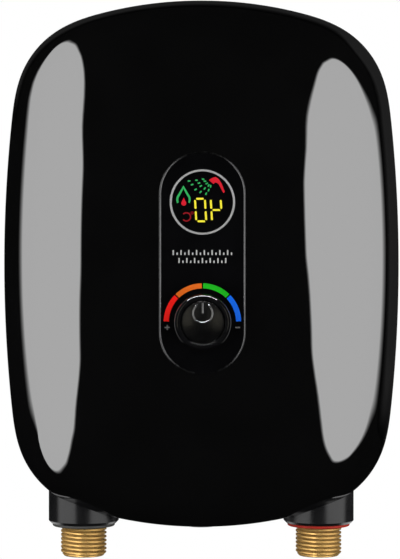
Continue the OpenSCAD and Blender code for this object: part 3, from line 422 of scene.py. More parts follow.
# A colour in full above one height, and dimmed to a level below another; both are in millimetres
def dimmed(tree, place, colour, high, low, level):
    height = add_node(tree, "ShaderNodeSeparateXYZ", {"Vector": place}).outputs["Z"]
    share = ranged(tree, height, low * MM, high * MM, level, 1.0)
    scaled = add_node(tree, "ShaderNodeVectorMath", {0: colour, "Scale": share}, operation="SCALE")
    return scaled.outputs["Vector"]


def finish(
    slot, colour, rough, vary=0.15, grain=250, drift=60, rough_vary=0.3, bump=0.0, bump_grain=1500,
    stretch=(1, 1, 1), metal=0.0, spec=0.5, coat=0.0, coat_ior=1.5, coat_rough=0.03,
    glow=0.0, dust=0.0, tint=None, dim=None,
):
    mat, tree, shader = node_material(slot)
    place = add_node(tree, "ShaderNodeTexCoord").outputs["Object"]
    stretched = add_node(tree, "ShaderNodeMapping", {"Vector": place, "Scale": stretch}).outputs["Vector"]
    ramp = add_node(tree, "ShaderNodeValToRGB", {"Fac": noise(tree, stretched, grain, COLOUR_DETAIL)})
    low, high = ramp.color_ramp.elements
    low.position, high.position = COLOUR_SPAN
    low.color = (*[c * (1 - vary) for c in colour], 1)
    high.color = (*(tint or [min(c * (1 + vary), 1.0) for c in colour]), 1)
    shown = ramp.outputs["Color"]
    if dust:
        shown = dusted(tree, place, shown, dust)
    if dim:
        shown = dimmed(tree, place, shown, *dim)
    drifting = noise(tree, stretched, drift, GLOSS_DETAIL)
    smoothest, roughest = rough * (1 - rough_vary), rough * (1 + rough_vary)
    fill(tree, shader, {
        "Base Color": shown,
        "Roughness": ranged(tree, drifting, *GLOSS_SPAN, smoothest, roughest),
        "Metallic": metal,
        "IOR": PLASTIC_IOR,
        "Specular IOR Level": spec,
        "Coat Weight": coat,
        "Coat IOR": coat_ior,
        "Coat Roughness": coat_rough,
    })
    if bump:
        height = noise(tree, stretched, bump_grain, BUMP_DETAIL)
        sockets = {"Strength": bump, "Distance": BUMP_HEIGHT, "Height": height}
        lift = add_node(tree, "ShaderNodeBump", sockets)
        fill(tree, shader, {"Normal": lift.outputs["Normal"]})
    if glow:
        fill(tree, shader, {"Emission Color": shown, "Emission Strength": glow})
    return mat


LIT = dict(rough=0.35, grain=1500, spec=0.2)
PRINT = dict(rough=0.4, vary=0.08, grain=1600, bump=0.06, bump_grain=5000, spec=0.15)
WASHER = dict(grain=500, bump=0.15, bump_grain=2200)
LEAD = dict(rough=0.45, bump=0.1)
FINISHES = {
    # Casing
    "cover_black": dict(
        colour=(0.0022, 0.0022, 0.0023), rough=0.05, vary=0.3, grain=35, drift=18, rough_vary=0.45,
        bump=0.006, bump_grain=160, spec=0.0, coat=1.0, coat_ior=5.0, coat_rough=0.02, dust=0.004),
    "casing_black": dict(
        colour=(0.006, 0.006, 0.0065), rough=0.22, vary=0.25, grain=120, drift=40,
        bump=0.03, bump_grain=2600, spec=0.96, dust=0.004),
    "seal_rubber": dict(colour=(0.014, 0.014, 0.0145), rough=0.62, bump=0.25, bump_grain=2200),
    "grommet_rubber": dict(colour=(0.016, 0.016, 0.0165), rough=0.6, bump=0.25, bump_grain=2400),
    "screw_steel": dict(
        colour=(0.56, 0.57, 0.59), rough=0.3, metal=1.0, grain=700, bump=0.08, bump_grain=2600),

    # Panel and display
    "panel_black": dict(
        colour=(0.0022, 0.0022, 0.0025), rough=0.08, vary=0.35, grain=60, drift=25, rough_vary=0.5,
        bump=0.004, bump_grain=220, dust=0.004),
    "trim_silver": dict(
        colour=(0.33, 0.33, 0.335), rough=0.24, metal=1.0, grain=900, drift=300,
        bump=0.04, bump_grain=4000, stretch=(1, 1, 0.15)),
    "ring_silver": dict(
        colour=(0.4, 0.4, 0.4), rough=0.4, vary=0.08, metal=0.15, grain=1200, drift=300,
        bump=0.05, bump_grain=4200),
    "window_black": dict(
        colour=(0.002, 0.002, 0.0023), rough=0.07, vary=0.3, grain=70, drift=30, rough_vary=0.5,
        bump=0.003, bump_grain=260),
    "lit_yellow": dict(LIT, colour=(0.66, 0.58, 0.03), vary=0.06, glow=0.4),
    "lit_green": dict(LIT, colour=(0.022, 0.3, 0.075), vary=0.12, glow=0.35),
    "lit_red": dict(LIT, colour=(0.46, 0.008, 0.018), vary=0.12, glow=0.35, dim=(23.2, 22.2, 0.42)),
    "print_white": dict(
        colour=(0.42, 0.42, 0.41), rough=0.45, vary=0.12, grain=1800, bump=0.1, bump_grain=5000,
        dim=(-12.0, -20.0, 0.3)),
    "print_red": dict(PRINT, colour=(0.94, 0.012, 0.008)),
    "print_orange": dict(PRINT, colour=(0.72, 0.135, 0.009)),
    "print_green": dict(PRINT, colour=(0.01, 0.46, 0.011)),
    "print_blue": dict(PRINT, colour=(0.006, 0.155, 0.92)),

    # Knob and button
    "knob_black": dict(
        colour=(0.0018, 0.0018, 0.002), rough=0.06, vary=0.3, grain=300, drift=120, rough_vary=0.4,
        bump=0.006, bump_grain=500, spec=0.3, coat=1.0, coat_ior=1.45, coat_rough=0.03),
    "button_black": dict(
        colour=(0.001, 0.001, 0.0011), rough=0.24, vary=0.3, grain=300, drift=120,
        bump=0.008, bump_grain=900),
    "symbol_silver": dict(colour=(0.25, 0.25, 0.255), rough=0.16, vary=0.2, grain=1800, metal=1.0),

    # Pipe fittings
    "union_brass": dict(
        colour=(0.93, 0.555, 0.178), rough=0.34, vary=0.12, grain=420, drift=260, metal=0.82,
        bump=0.1, bump_grain=1500, stretch=(1, 1, 6)),
    "ring_grey": dict(WASHER, colour=(0.062, 0.062, 0.059), rough=0.5, vary=0.12),
    "ring_red": dict(WASHER, colour=(0.39, 0.023, 0.013), rough=0.45, vary=0.15, spec=0.2),

    # Inside
    "device_black": dict(colour=(0.018, 0.019, 0.021), rough=0.45, bump=0.12, bump_grain=2200),
    "white_plastic": dict(colour=(0.74, 0.73, 0.68), rough=0.42, vary=0.06, bump=0.1, bump_grain=1800),
    "board_green": dict(
        colour=(0.014, 0.13, 0.045), rough=0.35, vary=0.3, grain=420, bump=0.2, bump_grain=900),
    "tank_steel": dict(
        colour=(0.52, 0.53, 0.55), rough=0.28, metal=1.0, grain=600, bump=0.08, stretch=(1, 1, 0.1)),
    "rotor_blue": dict(colour=(0.04, 0.18, 0.5), rough=0.4, bump=0.08),
    "pipe_copper": dict(
        colour=(0.66, 0.29, 0.15), rough=0.3, metal=1.0, vary=0.22, grain=200, bump=0.06),
    "seal_red": dict(colour=(0.4, 0.07, 0.04), rough=0.55, bump=0.2),
    "element_steel": dict(colour=(0.27, 0.28, 0.29), rough=0.4, metal=1.0, vary=0.25, bump=0.12),
    "terminal_ceramic": dict(colour=(0.74, 0.71, 0.62), rough=0.6, vary=0.08, bump=0.2),
    "reset_red": dict(colour=(0.5, 0.03, 0.02), rough=0.4, bump=0.08),
    "relay_blue": dict(colour=(0.014, 0.05, 0.22), rough=0.4, bump=0.1),
    "transformer_brown": dict(
        colour=(0.05, 0.038, 0.026), rough=0.45, vary=0.35, bump=0.3, stretch=(1, 8, 1)),
    "can_blue": dict(colour=(0.02, 0.06, 0.2), rough=0.25, bump=0.05),
    "lead_brown": dict(LEAD, colour=(0.2, 0.07, 0.03)),
    "lead_red": dict(LEAD, colour=(0.4, 0.04, 0.025)),
    "lead_green": dict(LEAD, colour=(0.16, 0.33, 0.04), tint=(0.5, 0.42, 0.03)),
    "ribbon_grey": dict(colour=(0.26, 0.27, 0.28), rough=0.5, bump=0.25, stretch=(1, 1, 9)),
}
FINISH = {slot: finish(slot, **values) for slot, values in FINISHES.items()}

for part in frame["record"]["subparts"]:
    obj = frame["nodes"][part["node"]]
    obj.data.materials.clear()
    obj.data.materials.append(FINISH[part["material_slot"]])


# Smooth shading for curved pieces that come from the part itself, with edges over an angle kept sharp

def smooth_by_angle(degrees):
    tree = bpy.data.node_groups.new("smooth_by_angle", "GeometryNodeTree")
    for way in ("INPUT", "OUTPUT"):
        tree.interface.new_socket("Geometry", in_out=way, socket_type="NodeSocketGeometry")
    given = add_node(tree, "NodeGroupInput").outputs["Geometry"]
    faces = add_node(tree, "GeometryNodeSetShadeSmooth", {"Geometry": given}, domain="FACE")
    angle = add_node(tree, "GeometryNodeInputMeshEdgeAngle").outputs["Unsigned Angle"]
    sockets = {"A": angle, "B": math.radians(degrees)}
    steep = add_node(tree, "FunctionNodeCompare", sockets, operation="GREATER_THAN")
    edges = add_node(tree, "GeometryNodeSetShadeSmooth", {
        "Geometry": faces.outputs["Geometry"],
        "Selection": steep.outputs["Result"],
        "Shade Smooth": False,
    }, domain="EDGE")
    add_node(tree, "NodeGroupOutput", {"Geometry": edges.outputs["Geometry"]})
    return tree


SMOOTH = smooth_by_angle(degrees=24)
for obj in frame["nodes"].values():
    weld = obj.modifiers.new("weld", "WELD")
    weld.merge_threshold = MERGE
    smooth = obj.modifiers.new("smooth", "NODES")
    smooth.node_group = SMOOTH
    even = obj.modifiers.new("even", "WEIGHTED_NORMAL")
    even.keep_sharp = True


# Front cover: one smooth dome from the rim to the panel's land, with a rolled lip at the panel's opening

def dome_ring(turn, skin):
    share = math.sin(turn) ** (2 / DOME_FULL)
    z = SEAM_Z + (BODY_D - skin - SEAM_Z) * math.cos(turn)
    ring = []
    for x, y in rim(skin):
        near_x, near_y = on_oval(x, y)
        ring.append((near_x + share * (x - near_x), near_y + share * (y - near_y), z))
    return ring


def mouth_ring(skin, reach, z):
    return [(*on_stadium(x, y, PANEL_R + FIT + reach), z) for x, y in rim(skin)]


# Room for a pipe sleeve, from below the casing up to the sleeve's top
def sleeve_notch(side):
    below = 1.5
    r, y0, y1 = SLEEVE_R + GAP, -HALF_H - below, SLEEVE_Y1 + GAP
    return turned([(0, y0), (r, y0), (r, y1), (0, y1)], (side * PIPE_X, PIPE_Z), steps=160)


def front_cover():
    lip, edge = 0.35, 0.3
    outer_steps, lip_steps, inner_steps = 44, 4, 18
    outer = [[(x, y, SEAM_Z) for x, y in rim(edge)]]
    outer += [dome_ring(math.radians(90 * (1 - k / outer_steps)), 0) for k in range(outer_steps + 1)]
    outer[1] = [(x, y, SEAM_Z + edge) for x, y, _ in outer[1]]
    for k in range(lip_steps + 1):
        t = math.radians(90 * k / lip_steps)
        outer.append(mouth_ring(0, lip * (1 - math.sin(t)), BODY_D - lip * (1 - math.cos(t))))
    inner = [mouth_ring(WALL, 0, BODY_D - WALL)]
    inner += [dome_ring(math.radians(90 * k / inner_steps), WALL) for k in range(inner_steps + 1)]
    shell = loft(outer + inner, loop=True)
    notches = [sleeve_notch(side) for side in (-1, 1)]
    add_piece("cover_shell", [shell], "cover_black", nodes=("front_cover",), cuts=notches, sharp=32)


front_cover()


# Knob, button and power symbol

def temperature_knob():
    hub_edge, back_edge, lip_edge, pocket_edge = 0.2, 0.3, 0.12, 0.2
    shoulder_steps = 20
    clip_z1 = CLIP_Z0 + CLIP_T
    corners = [
        (HUB_BORE_R, HUB_Z0), (HUB_R, HUB_Z0, hub_edge), (HUB_R, CLIP_Z0), (GROOVE_R, CLIP_Z0),
        (GROOVE_R, clip_z1), (HUB_R, clip_z1), (HUB_R, KNOB_Z0), (KNOB_R, KNOB_Z0, back_edge),
    ]
    for k in range(shoulder_steps + 1):
        t = math.radians(90 * k / shoulder_steps)
        corners.append((
            KNOB_R - KNOB_SHOULDER * (1 - math.cos(t) ** (2 / KNOB_FULL)),
            KNOB_Z1 - KNOB_SHOULDER * (1 - math.sin(t) ** (2 / KNOB_FULL)),
        ))
    corners += [(POCKET_R, KNOB_Z1, lip_edge), (POCKET_R, POCKET_Z, pocket_edge), (HUB_BORE_R, POCKET_Z)]
    shell = turned(rounded(corners), (0, KNOB_Y), along="z", steps=160)
    return add_piece(
        "knob_body", [shell], "knob_black", body="temperature_knob", nodes=("temperature_knob",))


# The button's face is a shallow cap, and the symbol follows it
def cap_z(x, y):
    return BUTTON_Z1 - CAP_FALL * (x * x + y * y) / BUTTON_R ** 2


def power_button():
    stem_edge, back_edge, front_edge = 0.3, 0.2, 0.4
    cap_steps = 16
    corners = [
        (0, STEM_Z0), (STEM_R, STEM_Z0, stem_edge), (STEM_R, BUTTON_Z0, back_edge),
        (BUTTON_R, BUTTON_Z0, back_edge), (BUTTON_R, cap_z(BUTTON_R, 0), front_edge),
    ]
    for k in reversed(range(cap_steps)):
        r = (BUTTON_R - front_edge) * k / cap_steps
        corners.append((r, cap_z(r, 0)))
    shell = turned(rounded(corners), (0, KNOB_Y), along="z", steps=128)
    return add_piece("button_cap", [shell], "button_black", body="power_button", nodes=("power_button",))


# A half-round stroke along a path on the button's face
def bead(path):
    half, high, sink, steps = SYMBOL_STROKE / 2, 0.2, 0.05, 8
    rings = []
    for k, (x, y) in enumerate(path):
        along_x, along_y, _ = toward(path[max(k - 1, 0)], path[min(k + 1, len(path) - 1)])
        section = [(-half, -sink)]
        for j in range(steps + 1):
            t = math.pi * (1 - j / steps)
            section.append((half * math.cos(t), high * math.sin(t)))
        section.append((half, -sink))
        z = cap_z(x, y)
        rings.append([(x - along_y * u, KNOB_Y + y + along_x * u, z + lift) for u, lift in section])
    return loft(rings, caps=True)


def power_symbol():
    start, sweep, arc_steps, bar_steps = 120, 300, 72, 6
    middle = SYMBOL_R - SYMBOL_STROKE / 2
    turns = [math.radians(start + sweep * k / arc_steps) for k in range(arc_steps + 1)]
    arc = bead([(middle * math.cos(t), SYMBOL_LIFT + middle * math.sin(t)) for t in turns])
    bar = bead([(0, SYMBOL_LIFT + SYMBOL_R * k / bar_steps) for k in range(bar_steps + 1)])
    return add_piece(
        "power_mark", [arc, bar], "symbol_silver", body="power_button", nodes=("power_symbol",))


KNOB = temperature_knob()
BUTTON = power_button()
SYMBOL = power_symbol()


# Display ring and panel trim, with rolled edges

# A plain band from an inner to an outer radius, with its two front edges rolled
def band(inner, outer, back, front, edge):
    return rounded([(inner, back), (outer, back), (outer, front, edge), (inner, front, edge)])


def display_ring():
    profile = band(DISPLAY_R - DISPLAY_RING_W, DISPLAY_R, FLANGE_Z0, DISPLAY_RING_Z, edge=0.25)
    shell = turned(profile, (0, DISPLAY_Y), along="z", steps=160)
    add_piece("display_bezel", [shell], "ring_silver", nodes=("display_ring",))


def stadium_ring(r, z, steps=48):
    ring = []
    for side, start in ((1, 0), (-1, math.pi)):
        for k in range(steps + 1):
            t = math.pi * k / steps + start
            ring.append((r * math.cos(t), side * PANEL_STRAIGHT + r * math.sin(t), z))
    return ring


def panel_trim():
    profile = band(PANEL_R - TRIM_W, PANEL_R, FLANGE_Z1, TRIM_Z1, edge=0.2)
    shell = loft([stadium_ring(r, z) for r, z in profile], loop=True)
    add_piece("panel_bezel", [shell], "trim_silver", nodes=("panel_trim",))


display_ring()
panel_trim()


# Unions with a helical thread, their coloured rings, the cable grommet and the cover screws

# One turn of the thread: share of the pitch, share of the depth
THREAD_FORM = ((0.0, 0.0), (0.06, 0.06), (0.3, 0.9), (0.38, 1.0), (0.66, 1.0), (0.74, 0.9), (0.97, 0.06))
THREAD_Y0 = THREAD_END + THREAD_LEAD / 2


# The thread rises out of the neck at its foot and sinks back into it at the ring
def thread_shell(side, steps=96):
    rise, fall = 1.1, 1.6
    rows = []
    for turn in range(-1, TURNS + 1):
        for share, depth in THREAD_FORM:
            row = []
            for k in range(steps + 1):
                y = THREAD_Y0 + (turn + share + k / steps) * PITCH
                r = NECK_R + depth * (THREAD_R - NECK_R)
                r = min(r, NECK_R + max(y - THREAD_Y0, 0) * rise, NECK_R + max(RING_Y0 - y, 0) * fall)
                y = min(max(y, THREAD_Y0), RING_Y0)
                t = 2 * math.pi * k / steps
                row.append((side * PIPE_X + r * math.cos(t), y, PIPE_Z + r * math.sin(t)))
            rows.append(row)
    verts = [p for row in rows for p in row]
    width = steps + 1
    faces = []
    for j in range(len(rows) - 1):
        for k in range(steps):
            a = j * width + k
            faces.append((a, a + 1, a + 1 + width, a + width))
    return verts, faces


def union_fitting(name, side):
    mouth_edge, spigot_bore_edge, spigot_edge, flange_edge = 0.3, 0.2, 0.3, 0.4
    profile = rounded([
        (UNION_BORE_R, THREAD_END, mouth_edge), (UNION_BORE_R, UNION_BORE_Y1),
        (FILTER_R, UNION_BORE_Y1), (FILTER_R, FILTER_SEAT_Y1),
        (SPIGOT_BORE_R, FILTER_SEAT_Y1), (SPIGOT_BORE_R, SPIGOT_TOP, spigot_bore_edge),
        (SPIGOT_R, SPIGOT_TOP, spigot_edge), (SPIGOT_R, UNION_TOP),
        (UNION_FLANGE_R, UNION_TOP, flange_edge), (UNION_FLANGE_R, LEDGE_Y, flange_edge),
        (NECK_R, LEDGE_Y), (NECK_R, RING_Y0),
    ])
    nose_in, nose_up, face_in = 0.1, 0.25, 0.45
    foot = [
        (NECK_R, THREAD_Y0), (NECK_R - nose_in, THREAD_END + nose_up), (NECK_R - face_in, THREAD_END),
        profile[0],
    ]
    shells = [turned(part, (side * PIPE_X, PIPE_Z), loop=False) for part in (profile, foot)]
    shells.append(thread_shell(side))
    obj = add_piece(f"{name}_fitting", shells, "union_brass", nodes=(f"{name}_union",), sharp=50)
    obj.visible_glossy = False
    return obj


def colour_ring(name, side, slot):
    bore_edge, foot_edge, top_edge = 0.2, 0.7, 0.5
    bore_r = NECK_R + FIT
    corners = [
        (bore_r, RING_Y0, bore_edge), (RING_R, RING_Y0, foot_edge), (RING_R, SLEEVE_Y0, top_edge),
        (bore_r, SLEEVE_Y0),
    ]
    shell = turned(rounded(corners), (side * PIPE_X, PIPE_Z), steps=128)
    obj = add_piece(f"{name}_washer", [shell], slot, nodes=(f"{name}_ring",))
    obj.visible_glossy = False


def cable_grommet():
    bore_edge, rim_edge, neck_edge = 0.3, 0.4, 0.1
    corners = [
        (CABLE_R, GROMMET_Y0, bore_edge), (GROMMET_FLANGE_R, GROMMET_Y0, rim_edge),
        (GROMMET_FLANGE_R, GROMMET_NECK_Y0, neck_edge), (GROMMET_NECK_R, GROMMET_NECK_Y0),
        (GROMMET_NECK_R, GROMMET_NECK_Y1), (GROMMET_FLANGE_R, GROMMET_NECK_Y1, neck_edge),
        (GROMMET_FLANGE_R, GROMMET_Y1, rim_edge), (CABLE_R, GROMMET_Y1, bore_edge),
    ]
    shell = turned(rounded(corners), (0, GROMMET_Z))
    add_piece("cable_gland", [shell], "grommet_rubber", nodes=("cable_grommet",))


# Outline of a cross, arm by arm
def cross(arm, half):
    corner = [(half, half), (half, arm), (-half, arm)]
    outline = []
    for c, s in ((1, 0), (0, 1), (-1, 0), (0, -1)):
        outline += [(c * u - s * v, s * u + c * v) for u, v in corner]
    return outline


# The heads face the wall, and each has a cross-shaped recess
def cover_screws():
    face_share, side_share = 0.6, 0.75
    head_edge, shank_edge, taper = 0.7, 0.1, 2.0
    recess_depth, clear = 1.1, 1.0
    back = SCREW_Z - SCREW_HEAD_H
    recess = cross(arm=2.0, half=0.35)
    recess_ends = (back - clear, back + recess_depth)
    profile = rounded([
        (SCREW_HEAD_R * face_share, back), (SCREW_HEAD_R, SCREW_Z - SCREW_HEAD_H * side_share, head_edge),
        (SCREW_HEAD_R, SCREW_Z, shank_edge), (SCREW_R, SCREW_Z, shank_edge),
        (SCREW_R, SCREW_Z + SCREW_LEN - taper), (SCREW_TIP_R, SCREW_Z + SCREW_LEN),
    ])
    screws, cuts = [], []
    for x, y in SCREW_SPOTS:
        screws.append(turned(profile, (x, y), along="z", steps=48, loop=False, caps=True))
        cuts.append(loft([[(x + u, y + v, z) for u, v in recess] for z in recess_ends], caps=True))
    return add_piece("cover_fixings", screws, "screw_steel", nodes=("cover_screws",), cuts=cuts)


UNIONS = (union_fitting("inlet", -1), union_fitting("outlet", 1))
colour_ring("inlet", -1, "ring_grey")
colour_ring("outlet", 1, "ring_red")
cable_grommet()
FIXINGS = cover_screws()


# Floor and world, in metres

FLOOR_REACH = 8.0
FLOOR_Z = -1.3
FLOOR_SIDES = 96
FLOOR_GREY = 0.66
FLOOR_GREY_REACH = 2.0
FLOOR_COLOUR = (0.45, 0.45, 0.45, 1)
FLOOR_ROUGH = 0.7


# To the camera the floor glows, grey near the part and rising to white at its edge
def stage_floor():
    turns = [2 * math.pi * k / FLOOR_SIDES for k in range(FLOOR_SIDES)]
    edge = [(FLOOR_REACH * math.cos(t), FLOOR_REACH * math.sin(t), FLOOR_Z) for t in turns]
    mesh = bpy.data.meshes.new("floor")
    mesh.from_pydata(edge, [], [tuple(range(FLOOR_SIDES))])
    floor = bpy.data.objects.new("floor", mesh)
    SCENE.collection.objects.link(floor)
    mat, tree, shader = node_material("pale_floor")
    place = add_node(tree, "ShaderNodeTexCoord").outputs["Object"]
    radius = add_node(tree, "ShaderNodeVectorMath", {0: place}, operation="LENGTH").outputs["Value"]
    level = ranged(tree, radius, FLOOR_GREY_REACH, FLOOR_REACH, FLOOR_GREY, 1.0, curve="SMOOTHSTEP")
    seen = add_node(tree, "ShaderNodeLightPath").outputs["Is Camera Ray"]
    glow = add_node(tree, "ShaderNodeMath", {0: seen, 1: level}, operation="MULTIPLY").outputs[0]
    fill(tree, shader, {
        "Base Color": FLOOR_COLOUR,
        "Roughness": FLOOR_ROUGH,
        "Emission Color": WHITE,
        "Emission Strength": glow,
    })
    mesh.materials.append(mat)
    floor.visible_glossy = False
    return floor


# The camera sees white, reflections see black with a bright spot behind, and other rays see a soft fill
def stage_world():
    world = bpy.data.worlds.new("studio")
    SCENE.world = world
    world.use_nodes = True
    tree = world.node_tree
    tree.nodes.clear()
    rays = add_node(tree, "ShaderNodeLightPath").outputs
    direction = add_node(tree, "ShaderNodeTexCoord").outputs["Generated"]
    backwards = add_node(tree, "ShaderNodeSeparateXYZ", {"Vector": direction}).outputs["Y"]

    def background(strength):
        node = add_node(tree, "ShaderNodeBackground", {"Color": WHITE, "Strength": strength})
        return node.outputs["Background"]

    def backdrop(start, end, low, high):
        return background(ranged(tree, backwards, start, end, low, high, curve="SMOOTHSTEP"))

    def choose(ray, no, yes):
        return add_node(tree, "ShaderNodeMixShader", {"Fac": rays[ray], 1: no, 2: yes}).outputs["Shader"]

    mirrored = backdrop(start=0.965, end=0.995, low=0.003, high=1.0)
    soft = backdrop(start=-0.2, end=0.7, low=0.06, high=0.7)
    chosen = choose("Is Glossy Ray", soft, mirrored)
    chosen = choose("Is Transmission Ray", chosen, mirrored)
    chosen = choose("Is Camera Ray", chosen, background(strength=1.0))
    add_node(tree, "ShaderNodeOutputWorld", {"Surface": chosen})


# Lamps and reflection cards, in metres and degrees

STAGE_REACH = 1.2
STAGE_MIDDLE = (0, -0.05, 0)
SOFTBOX_RADIANCE = 1.9
CARD_RADIANCE = 0.866
RIM_RADIANCE = 0.028
CARD_RINGS = (0.25, 0.5, 0.75, 1.0)
CARD_FALLOFF = 2.0

# Outlines of the cards: azimuth from the front to the right, and elevation
CARD_RIGHT = (
    (62.5, 48.5), (50.5, 46.5), (43, 43), (34, 35.5), (21, 18.5), (16, 9), (14, 2), (17.5, -3.5),
    (35, -29.5), (50, -41), (60, -43.5), (70, -40.5), (75, -35), (88, -18), (99, -9), (101.5, 9),
    (91, 17), (81, 27), (72, 43.5),
)
CARD_LEFT = (
    (-66.5, 57), (-81, 59.5), (-95, 59), (-106, 57), (-110.5, 51.5), (-102, 37), (-97.5, -4),
    (-86, -18.5), (-84.5, -28), (-93.5, -44), (-84, -49), (-64, -46), (-51, -39.5), (-40.5, -30.5),
    (-33, -21.5), (-24, -3.5), (-22.5, 3), (-26.5, 20), (-33, 33.5), (-41, 43.5), (-52, 51.5),
)
CARD_RIM = (
    (112, 44), (112, 14), (112, -12), (140, -12), (165, -12), (174, 14), (200, 14), (222, 14),
    (219, 45), (195, 50), (150, 50),
)


# A place on the sphere of the stage
def around(azimuth, elevation):
    a, e = math.radians(azimuth), math.radians(elevation)
    flat = STAGE_REACH * math.cos(e)
    return (flat * math.sin(a), STAGE_MIDDLE[1] - flat * math.cos(a), STAGE_REACH * math.sin(e))


# Pieces that a lamp or card lights alone, or that it leaves out
def link_group(name, pieces, state="INCLUDE"):
    group = bpy.data.collections.new(name)
    for piece in pieces:
        group.objects.link(piece)
    for member in group.collection_objects:
        member.light_linking.link_state = state
    return group


# A lamp for a group of pieces, aimed from its place at a target
def area_lamp(name, group, shape, place, target, size, energy, colour=(1, 1, 1)):
    lamp = bpy.data.lights.new(name, "AREA")
    lamp.shape = shape
    lamp.size, lamp.size_y = size
    lamp.energy = energy
    lamp.color = colour
    obj = bpy.data.objects.new(name, lamp)
    obj.location = place
    obj.rotation_euler = (Vector(target) - Vector(place)).to_track_quat("-Z", "Y").to_euler()
    obj.visible_camera = False
    obj.light_linking.receiver_collection = group
    SCENE.collection.objects.link(obj)
    return obj


# An oval lamp that shows in no reflection; its half width and height are angles seen from the middle
def softbox(name, group, azimuth, elevation, half_wide, half_high):
    wide, high = [2 * STAGE_REACH * math.tan(math.radians(half)) for half in (half_wide, half_high)]
    energy = SOFTBOX_RADIANCE * math.pi * math.pi * wide * high / 4
    obj = area_lamp(name, group, "ELLIPSE", around(azimuth, elevation), STAGE_MIDDLE, (wide, high), energy)
    obj.visible_glossy = False


def piece_lamp(name, group, place, target, size, radiance, colour=(1, 1, 1)):
    energy = radiance * math.pi * size[0] * size[1]
    area_lamp(name, group, "RECTANGLE", place, target, size, energy, colour)


# A share of the way from the second to the third of four values, on a smooth curve
def curve_value(f, p0, p1, p2, p3):
    slope = p2 - p0
    bend = 2 * p0 - 5 * p1 + 4 * p2 - p3
    twist = 3 * (p1 - p2) + p3 - p0
    return p1 + 0.5 * f * (slope + f * (bend + f * twist))


def curve_through(corners, per_side=6):
    n = len(corners)
    curve = []
    for k in range(n):
        near = [corners[(k + d) % n] for d in (-1, 0, 1, 2)]
        for j in range(per_side):
            curve.append([curve_value(j / per_side, *values) for values in zip(*near)])
    return curve


# Half width of a card's soft edge in degrees, wider towards the sides
def soft_edge(azimuth, elevation):
    narrow, growth, most = 0.4, 38, 8.0
    return min(narrow * math.exp(abs(azimuth) / growth) * math.cos(math.radians(elevation)) ** 2, most)


# The card glows evenly inside its soft edge and is dark at the outermost ring
def card_mesh(name, corners):
    outline = curve_through(corners)
    n = len(outline)
    middle_a = sum(a for a, e in outline) / n
    middle_e = sum(e for a, e in outline) / n
    rings = []
    for share, way in [(share, -1) for share in CARD_RINGS] + [(1.0, 1)]:
        ring = []
        for a, e in outline:
            out_a, out_e = a - middle_a, e - middle_e
            scale = share * (1 + way * soft_edge(a, e) / math.hypot(out_a, out_e))
            ring.append(around(middle_a + scale * out_a, middle_e + scale * out_e))
        rings.append(ring)
    verts, faces = loft(rings)
    fan = [(len(verts), k, (k + 1) % n) for k in range(n)]
    mesh = bpy.data.meshes.new(name)
    mesh.from_pydata(verts + [around(middle_a, middle_e)], [], fan + faces)
    glow = mesh.attributes.new("glow", "FLOAT", "POINT")
    glow.data.foreach_set("value", [1.0] * (len(verts) - n) + [0.0] * n + [1.0])
    return mesh


def card_material(name, radiance):
    mat, tree, _ = node_material(name)
    tree.nodes.clear()
    level = add_node(tree, "ShaderNodeAttribute", attribute_name="glow").outputs["Fac"]
    falloff = add_node(tree, "ShaderNodeMath", {0: level, 1: CARD_FALLOFF}, operation="POWER").outputs[0]
    strength = add_node(tree, "ShaderNodeMath", {0: falloff, 1: radiance}, operation="MULTIPLY").outputs[0]
    glow = add_node(tree, "ShaderNodeEmission", {"Strength": strength}).outputs["Emission"]
    add_node(tree, "ShaderNodeOutputMaterial", {"Surface": glow})
    return mat


# A curved card that shows only in reflections
def reflection_card(name, corners, radiance, group):
    mesh = card_mesh(name, corners)
    mesh.materials.append(card_material(name, radiance))
    card = bpy.data.objects.new(name, mesh)
    card.visible_camera = False
    card.visible_diffuse = False
    card.visible_shadow = False
    card.light_linking.receiver_collection = group
    SCENE.collection.objects.link(card)


beside_floor = link_group("beside_floor", [stage_floor()], "EXCLUDE")
stage_world()
softbox("softbox_right", beside_floor, azimuth=57, elevation=0, half_wide=45, half_high=44)
softbox("softbox_left", beside_floor, azimuth=-59, elevation=3, half_wide=38, half_high=50)

beside_knob = link_group("beside_knob", [KNOB, BUTTON], "EXCLUDE")
reflection_card("card_right", CARD_RIGHT, CARD_RADIANCE, beside_knob)
reflection_card("card_left", CARD_LEFT, CARD_RADIANCE, beside_knob)
reflection_card("card_rim", CARD_RIM, RIM_RADIANCE, beside_knob)

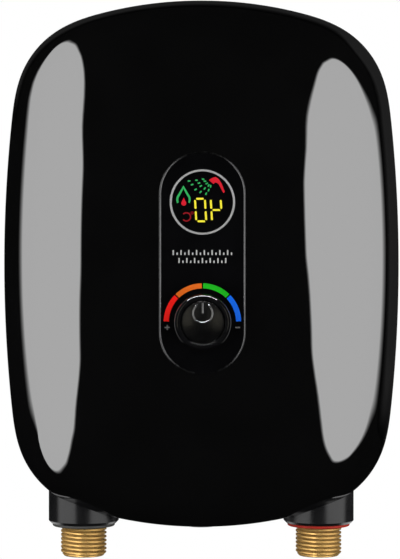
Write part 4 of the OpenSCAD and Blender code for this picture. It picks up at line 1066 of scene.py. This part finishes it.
KNOB_SPOT = at(0, KNOB_Y, KNOB_Z1)
KNOB_WARM = (1, 0.95, 0.75)
knob_group = link_group("knob_pieces", [KNOB, BUTTON, SYMBOL])
piece_lamp(
    "knob_strip", knob_group, place=(-0.01, -0.34, 0.33), target=KNOB_SPOT, size=(0.5, 0.04), radiance=80)
for name, place, size in (
    ("knob_left", (-0.16, -0.66, 0.03), (0.12, 0.2)),
    ("knob_right", (0.16, -0.66, 0.0), (0.12, 0.16)),
):
    piece_lamp(name, knob_group, place, KNOB_SPOT, size, radiance=0.8, colour=KNOB_WARM)

BACK_LAMP = (0.8, 0.8, 0.75)
back_group = link_group(
    "back_pieces", [frame["nodes"]["rear_housing"], frame["nodes"]["casing_seal"], FIXINGS])
for name, x, z in (("low_left", -1, -1), ("low_right", 1, -1), ("high_left", -1, 1), ("high_right", 1, 1)):
    place = (x * BACK_LAMP[0], BACK_LAMP[1], z * BACK_LAMP[2])
    piece_lamp(f"back_{name}", back_group, place, (0, 0, 0), size=(1.3, 0.75), radiance=0.9)

BRASS_SPOT = (0, 0, -0.12)
brass_group = link_group("brass_pieces", UNIONS)
for name, place, size, radiance in (
    ("brass_left", (-0.72, -1.0, -0.12), (0.7, 5.0), 3.6),
    ("brass_right", (1.1, -0.55, -0.12), (0.8, 5.0), 1.6),
):
    piece_lamp(name, brass_group, place, BRASS_SPOT, size, radiance)


# Camera: the photograph's height in pixels and its scale at the casing's seam give the lens

PHOTO_HIGH = 559
MM_PER_PIXEL = 0.4571
CAMERA_X = -11.2
CAMERA_Y = -7.2
CAMERA_REACH = 900.0  # from the seam
VIEW_RIGHT = 10.6  # from the camera's axis to the middle of the picture, at the seam
SENSOR = 36.0


def stage_camera():
    view_high = PHOTO_HIGH * MM_PER_PIXEL
    lens = bpy.data.cameras.new("camera")
    lens.sensor_width = SENSOR
    lens.lens = SENSOR * CAMERA_REACH / view_high
    lens.shift_x = VIEW_RIGHT / view_high
    obj = bpy.data.objects.new("camera", lens)
    obj.location = at(CAMERA_X, CAMERA_Y, SEAM_Z + CAMERA_REACH)
    obj.rotation_euler = (math.radians(90), 0, 0)
    SCENE.collection.objects.link(obj)
    SCENE.camera = obj


stage_camera()
SCENE.view_settings.view_transform = "Standard"
